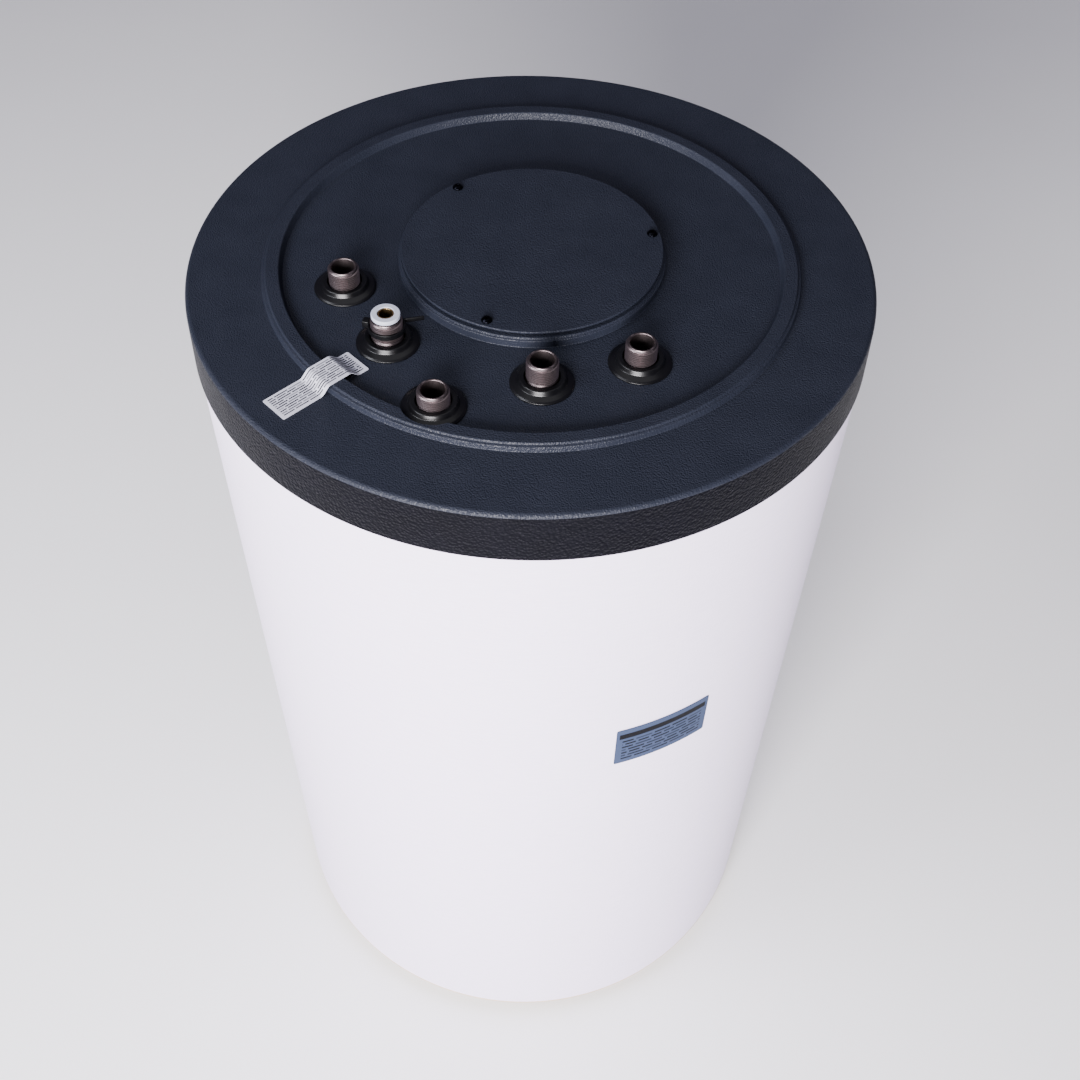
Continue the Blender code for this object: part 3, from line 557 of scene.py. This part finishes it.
# Insulation: rigid polyurethane foam, poured between vessel and jacket. It has a smooth pale
# skin, and open cells show round the flange well. The access cover carries a plug of the same foam.


def rigid_foam():
    """Polyurethane foam: cream, matt, with cells of about 1.5 mm and patchy ageing."""
    material, tree, shader = mottled("rigid_polyurethane_foam", ("#d8c48a", "#ead9a6"), 18.0, 5.0,
                                     0.9, specular=0.2)
    place = add(tree, "ShaderNodeTexCoord").outputs["Object"]
    cells = add(tree, "ShaderNodeTexVoronoi", {"Scale": 650.0}, {"Vector": place})
    relief(tree, shader, cells.outputs["Distance"], 0.5, 0.0006)
    return material


foam = rigid_foam()
repaint(foam, "insulation", "cover_insulation")

# Jacket: a 1.5 mm sheet of polystyrene with a fabric emboss, rolled round the foam. Its ends
# meet at the back under a cover strip held by a row of push rivets.
jacket_low, jacket_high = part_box("jacket")
jacket_radius = 0.2995
jacket_inside = jacket_radius - 0.0015


def wrap_uv(mesh, radius):
    """A UV map in metres: distance round the given radius, and height."""
    layer = mesh.uv_layers.new(name="wrap")
    for face in mesh.polygons:
        middle_angle = math.atan2(face.center.y, face.center.x)
        for loop in face.loop_indices:
            co = mesh.vertices[mesh.loops[loop].vertex_index].co
            off = math.remainder(math.atan2(co.y, co.x) - middle_angle, full_turn)
            layer.data[loop].uv = ((middle_angle + off) * radius, co.z)


def arc_bar(outline, start, angle, steps):
    """A bmesh of an outline swept part of a turn about the heater's axis."""
    bm = bmesh.new()
    points = [bm.verts.new((radius, 0, height)) for radius, height in outline]
    bmesh.ops.rotate(bm, verts=points, matrix=Matrix.Rotation(start, 3, "Z"))
    face = bm.faces.new(points)
    bmesh.ops.spin(bm, geom=[face] + points + list(face.edges), cent=(0, 0, 0), axis=(0, 0, 1),
                   angle=angle, steps=steps)
    bmesh.ops.recalc_face_normals(bm, faces=bm.faces)
    return bm


def fabric_emboss_sheet():
    """Embossed polystyrene sheet: off-white with a lavender cast, satin. The rolled-in cloth
    pattern gives fine level streaks crossed by a weaker upright thread."""
    material, tree, shader = new_finish("fabric_embossed_polystyrene", 0.42, specular=0.4)
    place = add(tree, "ShaderNodeUVMap", uv_map="wrap").outputs["UV"]
    # Streaks about 1.1 mm high and 25 mm long; upright threads about 1.6 mm apart
    level = add(tree, "ShaderNodeMapping", {"Scale": (40.0, 900.0, 1.0)}, {"Vector": place})
    upright = add(tree, "ShaderNodeMapping", {"Scale": (620.0, 60.0, 1.0)}, {"Vector": place})
    streaks = add(tree, "ShaderNodeTexNoise", {"Scale": 1.0, "Detail": 3.0},
                  {"Vector": level.outputs[0]})
    threads = add(tree, "ShaderNodeTexNoise", {"Scale": 1.0, "Detail": 2.0},
                  {"Vector": upright.outputs[0]})
    cloth = add(tree, "ShaderNodeMath", {1: 0.6},
                {0: threads.outputs["Fac"], 2: streaks.outputs["Fac"]}, operation="MULTIPLY_ADD")
    tone = add(tree, "ShaderNodeMix", {6: colour("#dcd0ea"), 7: colour("#efe5f9")},
               {0: streaks.outputs["Fac"]}, data_type="RGBA")
    tree.links.new(tone.outputs[2], shader.inputs["Base Color"])
    relief(tree, shader, cloth.outputs[0], 0.7, 0.0003)
    return material


jacket_finish = fabric_emboss_sheet()
sheet_outline = rounded([
    (jacket_inside, jacket_high.z, 0.0003), (jacket_radius, jacket_high.z, 0.0006),
    (jacket_radius, jacket_low.z, 0.0006), (jacket_inside, jacket_low.z, 0.0003),
], 3)
jacket_bm = turned(sheet_outline, 240)
# Level cuts keep the faces short enough for clean shading of the wall
for height in (0.2, 0.4, 0.6, 0.8):
    bmesh.ops.bisect_plane(jacket_bm, geom=list(jacket_bm.verts) + list(jacket_bm.edges)
                           + list(jacket_bm.faces), plane_co=(0, 0, height), plane_no=(0, 0, 1))
jacket = piece("jacket_sheet", jacket_bm, jacket_finish, "tank", ["jacket"])
wrap_uv(jacket.data, jacket_radius)

seam_azimuth = math.pi / 2
strip_half = 0.018 / jacket_radius
strip_low, strip_high = jacket_low.z + 0.002, jacket_high.z - 0.0115
strip_inside, strip_outside = jacket_radius + 0.0001, jacket_radius + 0.0011
strip_bm = arc_bar(rounded([
    (strip_inside, strip_high), (strip_outside, strip_high, 0.0004),
    (strip_outside, strip_low, 0.0004), (strip_inside, strip_low),
], 3, 0.0001), seam_azimuth - strip_half, 2 * strip_half, 16)
strip = piece("jacket_cover_strip", strip_bm, jacket_finish, "tank")
wrap_uv(strip.data, jacket_radius)

rivet_offset = 0.012 / jacket_radius
first_rivet, rivet_pitch = 0.06, 0.1025
rivets = bmesh.new()
for side in (-1, 1):
    for number in range(9):
        rivet = turned([(0, 0.0009), (0.0020, 0.0008), (0.0034, 0.0004), (0.0037, 0.0)], 20,
                       closed=False)
        bmesh.ops.holes_fill(rivet, edges=[edge for edge in rivet.edges if edge.is_boundary],
                             sides=0)
        bmesh.ops.recalc_face_normals(rivet, faces=rivet.faces)
        stand = (Matrix.Rotation(seam_azimuth + side * rivet_offset, 4, "Z")
                 @ Matrix.Translation((jacket_radius + 0.0010, 0,
                                       first_rivet + rivet_pitch * number))
                 @ Matrix.Rotation(math.pi / 2, 4, "Y"))
        bmesh.ops.transform(rivet, matrix=stand, verts=rivet.verts)
        join(rivets, rivet)
piece("jacket_push_rivets", rivets, white_plastic, "tank")

# Top lid: one vacuum-formed black ABS sheet with a leather grain. A raised bead runs round it,
# a low boss takes the access cover, and its skirt slips over the jacket.
lid_height = 0.969
lid_radius = 0.300
lid_wall = 0.0015
skirt_bottom = lid_height - 0.049
boss_high = 0.0095
opening_radius = 0.1020
cover_radius = 0.114
bead_outer_radius = 0.235
bead_inner_radius = 0.217
bead_high = 0.0065
rosette_radius = 0.0264
rosette_recess = rosette_radius + 0.0006
rosette_hole = 0.01875
screw_hole = 0.0020
screw_circle = 0.1067
screw_azimuths = (10, 130, 250)


def polar(radius, azimuth, height=0.0):
    """The point at this distance, azimuth in degrees and height."""
    angle = math.radians(azimuth)
    return Vector((radius * math.cos(angle), radius * math.sin(angle), height))


def lid_outline(inset, bottom, axis_radius):
    """The lid's upper side from the boss out to the skirt, moved in by inset."""
    top = lid_height - inset
    boss = cover_radius - inset
    soft = 0.0006 if inset else 0.0
    return rounded([
        (axis_radius, top + boss_high),
        (boss + 0.0009, top + boss_high, 0.0009 - soft / 2),
        (boss + 0.0013, top + boss_high - 0.0015, 0.0003),
        (boss + 0.0030, top + boss_high - 0.0022, 0.0009),
        (boss + 0.0022, top, 0.0006),
        (bead_inner_radius + inset, top, 0.0008),
        (bead_inner_radius + 0.0025 + inset, top + bead_high, 0.0015 - soft),
        (bead_outer_radius - 0.0038 - inset, top + bead_high, 0.0012 - soft),
        (bead_outer_radius - 0.0031 - inset, top + bead_high - 0.0016, 0.0004),
        (bead_outer_radius - 0.0008 - inset, top + bead_high - 0.0022, 0.0012 - soft),
        (bead_outer_radius - inset, top, 0.0008),
        (lid_radius - inset, top, 0.004 - inset),
        (lid_radius + 0.0015 - inset, bottom),
        (axis_radius, bottom),
    ], 6, 0.0003)


def leather_grained_abs(name, cell, depth, tones, specular):
    """Grained ABS sheet: blue-black and satin matt. Its leather pebbles break every highlight into
    small sparks, and it is a little unevenly polished by hands."""
    material, tree, shader = mottled(name, tones, 30.0, 5.0, 0.42, specular=specular,
                                     gloss=(0.34, 0.46))
    place = add(tree, "ShaderNodeTexCoord").outputs["Object"]
    pebbles = add(tree, "ShaderNodeTexVoronoi", {"Scale": 1 / cell, "Smoothness": 0.4},
                  {"Vector": place}, feature="SMOOTH_F1")
    relief(tree, shader, pebbles.outputs["Distance"], 0.8, depth, invert=True)
    return material


# Pebbles are about 1.3 mm across on the flats. The deep draw of the skirt stretched them to 2.5 mm.
# The skirt's copy is much darker and less glossy than the top's: painted shade on the skirt.
lid_plastic = leather_grained_abs("leather_grained_abs", 0.0013, 0.0006, ("#191c25", "#22252f"),
                                  0.2)
shaded_skirt_plastic = leather_grained_abs("stretched_grain_abs_painted_shade", 0.0025, 0.0010, ("#030306", "#08080f"),
                                    0.04)
pipe_centres = list(pipe_spots.values())
screw_spots = [polar(screw_circle, azimuth) for azimuth in screw_azimuths]
above = lid_height + bead_high + 0.01
below_skirt = skirt_bottom - 0.010
# The core is the hollow inside the lid: its outline is one wall in, and it runs out below
core_outline = lid_outline(lid_wall, skirt_bottom, 0)
core_outline[-2:] = [Vector((core_outline[-2][0] + 0.0003, below_skirt)), Vector((0, below_skirt))]
core = carved(turned(core_outline, 256, closed=False),
              drill(pipe_centres, rosette_recess + lid_wall, lid_height - lid_wall + 0.0002,
                    above, 96))
lid = carved(turned(lid_outline(0, skirt_bottom, opening_radius), 256),
             drill(pipe_centres, rosette_recess, lid_height + 0.0002, above, 96), core,
             drill(pipe_centres, rosette_hole, lid_height - 0.01, lid_height + 0.01, 96),
             drill(screw_spots, screw_hole, lid_height, lid_height + 0.02, 24))
top_lid = piece("top_lid_shell", lid, lid_plastic, "tank", ["top_lid"])
# The skirt's faces take the darker copy, which is painted shade
top_lid.data.materials.append(shaded_skirt_plastic)
for face in top_lid.data.polygons:
    if face.center.z < lid_height - 0.003:
        face.material_index = 1

# Access cover: a flat moulded ABS disc on a ring of black foam rubber, with a foam plug under it,
# held by three screws. It lifts off to reach the cleaning flange and the anode.
seal_low, seal_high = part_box("cover_seal")
cover_low, cover_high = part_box("access_cover")
seal_radius = 0.110
seal = carved(turned(rounded([
    (opening_radius, seal_high.z, 0.0008), (seal_radius, seal_high.z, 0.0011),
    (seal_radius, seal_low.z, 0.0011), (opening_radius, seal_low.z, 0.0008),
], 4, 0.0002), 160), drill(screw_spots, screw_hole, seal_low.z - 0.01, seal_high.z + 0.01, 24))
piece("cover_foam_seal", seal, rubber, "access_cover", ["cover_seal"])
cover = carved(turned(rounded([
    (0, cover_high.z), (cover_radius, cover_high.z, 0.0008), (cover_radius, cover_low.z, 0.0003),
    (0, cover_low.z),
], 5, 0.0003), 256, closed=False),
    drill(screw_spots, screw_hole, cover_low.z - 0.01, cover_high.z + 0.01, 24))
piece("access_cover_disc", cover, lid_plastic, "access_cover", ["access_cover"])


def blackened_screw_steel():
    """Case-hardened screw steel with a black zinc finish: dark, fairly glossy, worn in places."""
    return mottled("black_zinc_screw_steel", ("#08080b", "#1a1b22"), 900.0, 4.0, 0.25,
                   metallic=1.0, gloss=(0.18, 0.34))[0]


screw_steel = blackened_screw_steel()
head_radius = 0.0047
core_radius = 0.0014
under_head = cover_high.z + 0.0003
for number, spot in enumerate(screw_spots, 1):
    low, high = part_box(f"cover_screw_{number}")
    blank = turned(rounded([
        (0, high.z), (head_radius * 0.62, high.z, 0.0012),
        (head_radius, under_head + 0.0009, 0.0006), (head_radius, under_head),
        (core_radius, under_head), (core_radius, low.z + 0.0026), (0, low.z),
    ], 5, 0.0002), 48, spot, closed=False)
    # The cross recess: two tapered slots at right angles
    slots = []
    for quarter in (0, 1):
        slots.append(bmesh.new())
        made = bmesh.ops.create_cube(slots[-1], size=1.0)["verts"]
        bmesh.ops.scale(slots[-1], verts=made, vec=(head_radius - 0.0001, 0.0011, 0.0036))
        for vert in made:
            if vert.co.z < 0:
                vert.co.x *= 0.35
        turn = (Matrix.Translation((spot.x, spot.y, high.z))
                @ Matrix.Rotation(math.radians(35 * number + 90 * quarter), 4, "Z"))
        bmesh.ops.transform(slots[-1], matrix=turn, verts=made)
    screw = bmesh.new()
    screw.from_mesh(carved(blank, *slots))
    add_thread(screw, spot, 0.00168, 0.0004, 0.0014, low.z + 0.0005, under_head - 0.0006, 24)
    piece(f"cover_pan_head_screw_{number}", screw, screw_steel, "access_cover",
          [f"cover_screw_{number}"])

# Rosettes: moulded EPDM collars clipped into the lid's holes. A cone rises from a thin rim to a
# raised collar, which stands clear of the pipe.
collar_bore = pipe_radius + 0.0012
collar_top = lid_height + 0.008
spigot = pipe_radius + 0.0050
grip = pipe_radius + 0.0003
rim_low = lid_height + 0.0003
under_lid = lid_height - lid_wall - 0.0003
for name in pipe_names:
    rosette = turned(rounded([
        (collar_bore, collar_top, 0.0005), (collar_bore + 0.0044, collar_top, 0.0012),
        (collar_bore + 0.0060, lid_height + 0.0042, 0.0012),
        (rosette_radius - 0.0015, lid_height + 0.0024, 0.0025),
        (rosette_radius, lid_height + 0.0012, 0.0005), (rosette_radius, rim_low),
        (spigot, rim_low), (spigot, under_lid), (spigot + 0.0018, under_lid, 0.0003),
        (spigot + 0.0007, under_lid - 0.0018, 0.0004), (grip, under_lid - 0.0018),
        (grip, lid_height + 0.002), (collar_bore, lid_height + 0.003),
    ], 4, 0.0002), 96, pipe_spots[name])
    piece(f"{name}_rosette", rosette, rubber, "tank", [f"{name}_grommet"])

# Sensor pocket: a blind drawn brass tube down the middle of the sensor pipe. A rubber washer seals
# it and a white moulded bush centres it.
sensor = pipe_spots["sensor"]
pocket_bore, pocket_radius = 0.0056, 0.0067
round_pocket = 0.0070
low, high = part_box("sensor_pocket")
pocket = turned(rounded([
    (pocket_bore, high.z, 0.0003), (pocket_radius, high.z, 0.0004),
    (pocket_radius, low.z, 0.0030), (0, low.z), (0, low.z + 0.0011),
    (pocket_bore, low.z + 0.0011, 0.0020),
], 4, 0.0002), 64, sensor)
piece("sensor_pocket_tube", pocket, brass, "tank", ["sensor_pocket"])
low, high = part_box("pocket_seal")
washer_edge = high.x - sensor.x
washer = turned(rounded([
    (round_pocket, high.z, 0.0003), (washer_edge, high.z, 0.0004), (washer_edge, low.z, 0.0004),
    (round_pocket, low.z, 0.0003),
], 3, 0.0001), 64, sensor)
piece("pocket_washer", washer, rubber, "tank", ["pocket_seal"])
low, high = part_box("pocket_bush")
bush_flange = 0.0120
flange_low = high.z - 0.0034
in_bore = bore_radius - 0.0003
bush = turned(rounded([
    (round_pocket, high.z, 0.0004), (bush_flange, high.z, 0.0008),
    (bush_flange, flange_low, 0.0003), (in_bore, flange_low), (in_bore, low.z, 0.0008),
    (round_pocket, low.z),
], 4, 0.0002), 72, sensor)
piece("pocket_centring_bush", bush, white_plastic, "tank", ["pocket_bush"])

# Cable tie: black nylon, pulled tight round the sensor pipe to hold a sensor lead. The band is
# ribbed inside, the square head holds it, and the cut tail stands off.
tie_low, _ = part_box("cable_tie")
tie_half = 0.0024
tie_middle = tie_low.z + tie_half
band_thickness = 0.0013
band_inner = pipe_radius + 0.0006
band_outer = band_inner + band_thickness
head_azimuth, tail_azimuth, tail_heading = 165, 30, 14
head_size = Vector((0.0056, 0.0068, 0.0060))
tail_length = 0.0175


def moulded_nylon():
    """Black nylon 6.6: smooth, waxy gloss with faint flow lines."""
    return mottled("black_nylon", ("#030304", "#08080a"), 500.0, 3.0, 0.35, specular=0.25,
                   gloss=(0.28, 0.45))[0]


def add_block(bm, size, spot, azimuth, edge):
    """Adds a block with softened edges and returns its outermost flat face."""
    made = bmesh.ops.create_cube(bm, size=1.0)["verts"]
    bmesh.ops.scale(bm, verts=made, vec=size)
    turn = Matrix.Translation(spot) @ Matrix.Rotation(math.radians(azimuth), 4, "Z")
    bmesh.ops.transform(bm, matrix=turn, verts=made)
    edges = {line for vert in made for line in vert.link_edges}
    made = bmesh.ops.bevel(bm, geom=list(edges), offset=edge, segments=3, profile=0.5,
                           affect="EDGES", material=-1)
    faces = {face for vert in made["verts"] for face in vert.link_faces}
    outward = polar(1, azimuth)
    return max(faces, key=lambda face: face.calc_center_median().dot(outward) + face.calc_area())


tie = turned(rounded([
    (band_inner, tie_middle + tie_half, 0.0003), (band_outer, tie_middle + tie_half, 0.0004),
    (band_outer, tie_middle - tie_half, 0.0004), (band_inner, tie_middle - tie_half, 0.0003),
], 3, 0.0001), 96, sensor)
tie_spot = sensor.copy()
tie_spot.z = tie_middle
head_spot = tie_spot + polar(band_outer - band_thickness / 2 + head_size.x / 2, head_azimuth)
mouth = add_block(tie, head_size, head_spot, head_azimuth, 0.0006)
bmesh.ops.inset_region(tie, faces=[mouth], thickness=0.0009)
bmesh.ops.translate(tie, verts=mouth.verts, vec=-polar(0.0012, head_azimuth))
tail_start = tie_spot + polar(band_inner + band_thickness / 2, tail_azimuth)
add_block(tie, (tail_length, band_thickness, 0.0040),
          tail_start + polar(tail_length / 2, tail_heading), tail_heading, 0.0003)
to_teeth = polar(0.00062, tail_heading + 90)
for tooth in range(15):
    tooth_spot = tail_start + polar(0.0012 + 0.001 * tooth, tail_heading) - to_teeth
    add_block(tie, (0.0005, 0.00030, 0.0026), tooth_spot, tail_heading, 0.00008)
piece("cable_tie_nylon", tie, moulded_nylon(), "tank", ["cable_tie"])

# Printed labels: a silver-white notice stuck on the lid, which rises over the bead, and a
# blue-grey rating plate on the jacket. Both are polyester film with plain bars for the printing.


def label_blank(width, height, thickness, corner, cuts):
    """A flat rectangle of film with rounded corners, cut into strips so that it can bend."""
    bm = bmesh.new()
    bmesh.ops.create_grid(bm, x_segments=1, y_segments=1, size=0.5)
    bmesh.ops.scale(bm, verts=bm.verts, vec=(width, height, 1))
    bmesh.ops.bevel(bm, geom=list(bm.verts), offset=corner, segments=5, profile=0.5,
                    affect="VERTICES", material=-1)
    for axis, (count, span) in enumerate(zip(cuts, (width, height))):
        for number in range(1, count):
            where = Vector((0, 0, 0))
            where[axis] = span * (number / count - 0.5)
            normal = Vector((0, 0, 0))
            normal[axis] = 1
            bmesh.ops.bisect_plane(bm, geom=list(bm.verts) + list(bm.edges) + list(bm.faces),
                                   plane_co=where, plane_no=normal)
    grown = bmesh.ops.extrude_face_region(bm, geom=list(bm.faces), use_keep_orig=True)["geom"]
    bmesh.ops.translate(bm, verts=[part for part in grown if isinstance(part, bmesh.types.BMVert)],
                        vec=(0, 0, thickness))
    bmesh.ops.recalc_face_normals(bm, faces=bm.faces)
    layer = bm.loops.layers.uv.new("print")
    for face in bm.faces:
        for loop in face.loops:
            loop[layer].uv = (loop.vert.co.x + width / 2, loop.vert.co.y + height / 2)
    return bm


def printed_film(name, width, height, band, ground, ink, row, bar):
    """Printed polyester film: satin, with rows of broken bars inside a clear margin and one dark
    band near the top. The bars are generic."""
    material, tree, shader = new_finish(name, 0.4, specular=0.03)
    place = add(tree, "ShaderNodeUVMap", uv_map="print").outputs["UV"]
    bars = add(tree, "ShaderNodeTexBrick", {
        "Color1": colour(ink), "Color2": colour(ground), "Mortar": colour(ground), "Scale": 1.0,
        "Mortar Size": row * 0.27, "Mortar Smooth": 0.1, "Bias": -0.5, "Brick Width": bar,
        "Row Height": row}, {"Vector": place}, offset=0.37, squash=0.7, squash_frequency=3)
    across, along, _ = add(tree, "ShaderNodeSeparateXYZ", links={0: place}).outputs

    def between(value, low, high):
        """A socket that is 1 where the value lies between low and high, and 0 elsewhere."""
        over = add(tree, "ShaderNodeMath", {1: low}, {0: value}, operation="GREATER_THAN")
        below = add(tree, "ShaderNodeMath", {1: high}, {0: value}, operation="LESS_THAN")
        return add(tree, "ShaderNodeMath", links={0: over.outputs[0], 1: below.outputs[0]},
                   operation="MULTIPLY").outputs[0]

    margin = row * 1.3
    inside = add(tree, "ShaderNodeMath", links={
        0: between(across, margin, width - margin), 1: between(along, margin, band[0] - margin / 2),
    }, operation="MULTIPLY").outputs[0]
    printed = add(tree, "ShaderNodeMix", {6: colour(ground)}, {0: inside, 7: bars.outputs["Color"]},
                  data_type="RGBA")
    banded = add(tree, "ShaderNodeMath", links={
        0: between(along, *band), 1: between(across, margin / 2, width - margin / 2),
    }, operation="MULTIPLY").outputs[0]
    tone = add(tree, "ShaderNodeMix", {7: colour(ink)}, {0: banded, 6: printed.outputs[2]},
               data_type="RGBA")
    ripple = add(tree, "ShaderNodeTexNoise", {"Scale": 60.0, "Detail": 2.0}, {"Vector": place})
    tree.links.new(tone.outputs[2], shader.inputs["Base Color"])
    relief(tree, shader, ripple.outputs["Fac"], 0.15, 0.0003)
    return material


notice_length, notice_width = 0.085, 0.028
notice_radius, notice_azimuth = 0.237, 224.1
bead_ramp = 0.010
notice = label_blank(notice_length, notice_width, 0.00025, 0.0015, (60, 2))
notice_centre = polar(notice_radius, notice_azimuth)
for vert in notice.verts:
    reach, spread, lift = vert.co
    point = (notice_centre - polar(spread, notice_azimuth + 90) - polar(reach, notice_azimuth))
    radius = point.xy.length
    # Level on the bead, and an S-shaped ramp down to the lid at either side of it
    clear = max(bead_inner_radius - 0.003 - radius, radius - bead_outer_radius + 0.00175, 0)
    ramp = max(0.0, 1 - clear / bead_ramp)
    point.z = lid_height + 0.0003 + bead_high * ramp * ramp * (3 - 2 * ramp) + lift
    vert.co = point
bmesh.ops.recalc_face_normals(notice, faces=notice.faces)
notice_print = printed_film("printed_notice_film", notice_length, notice_width, (0.0285, 0.030),
                            "#bcbcc8", "#101016", 0.0024, 0.014)
piece("notice_film", notice, notice_print, "tank", ["notice_label"])

plate_width, plate_height = 0.098, 0.058
plate_azimuth, plate_middle = -64.2, 0.626
rating = label_blank(plate_width, plate_height, 0.0004, 0.002, (24, 1))
for vert in rating.verts:
    across, along, lift = vert.co
    radius = jacket_radius + 0.0003
    azimuth = plate_azimuth + math.degrees(across / radius)
    vert.co = polar(radius + lift, azimuth, plate_middle + along)
bmesh.ops.recalc_face_normals(rating, faces=rating.faces)
plate_print = printed_film("printed_rating_film", plate_width, plate_height, (0.0425, 0.0505),
                           "#343e56", "#06060a", 0.0050, 0.019)
piece("rating_plate_film", rating, plate_print, "tank", ["rating_plate"])
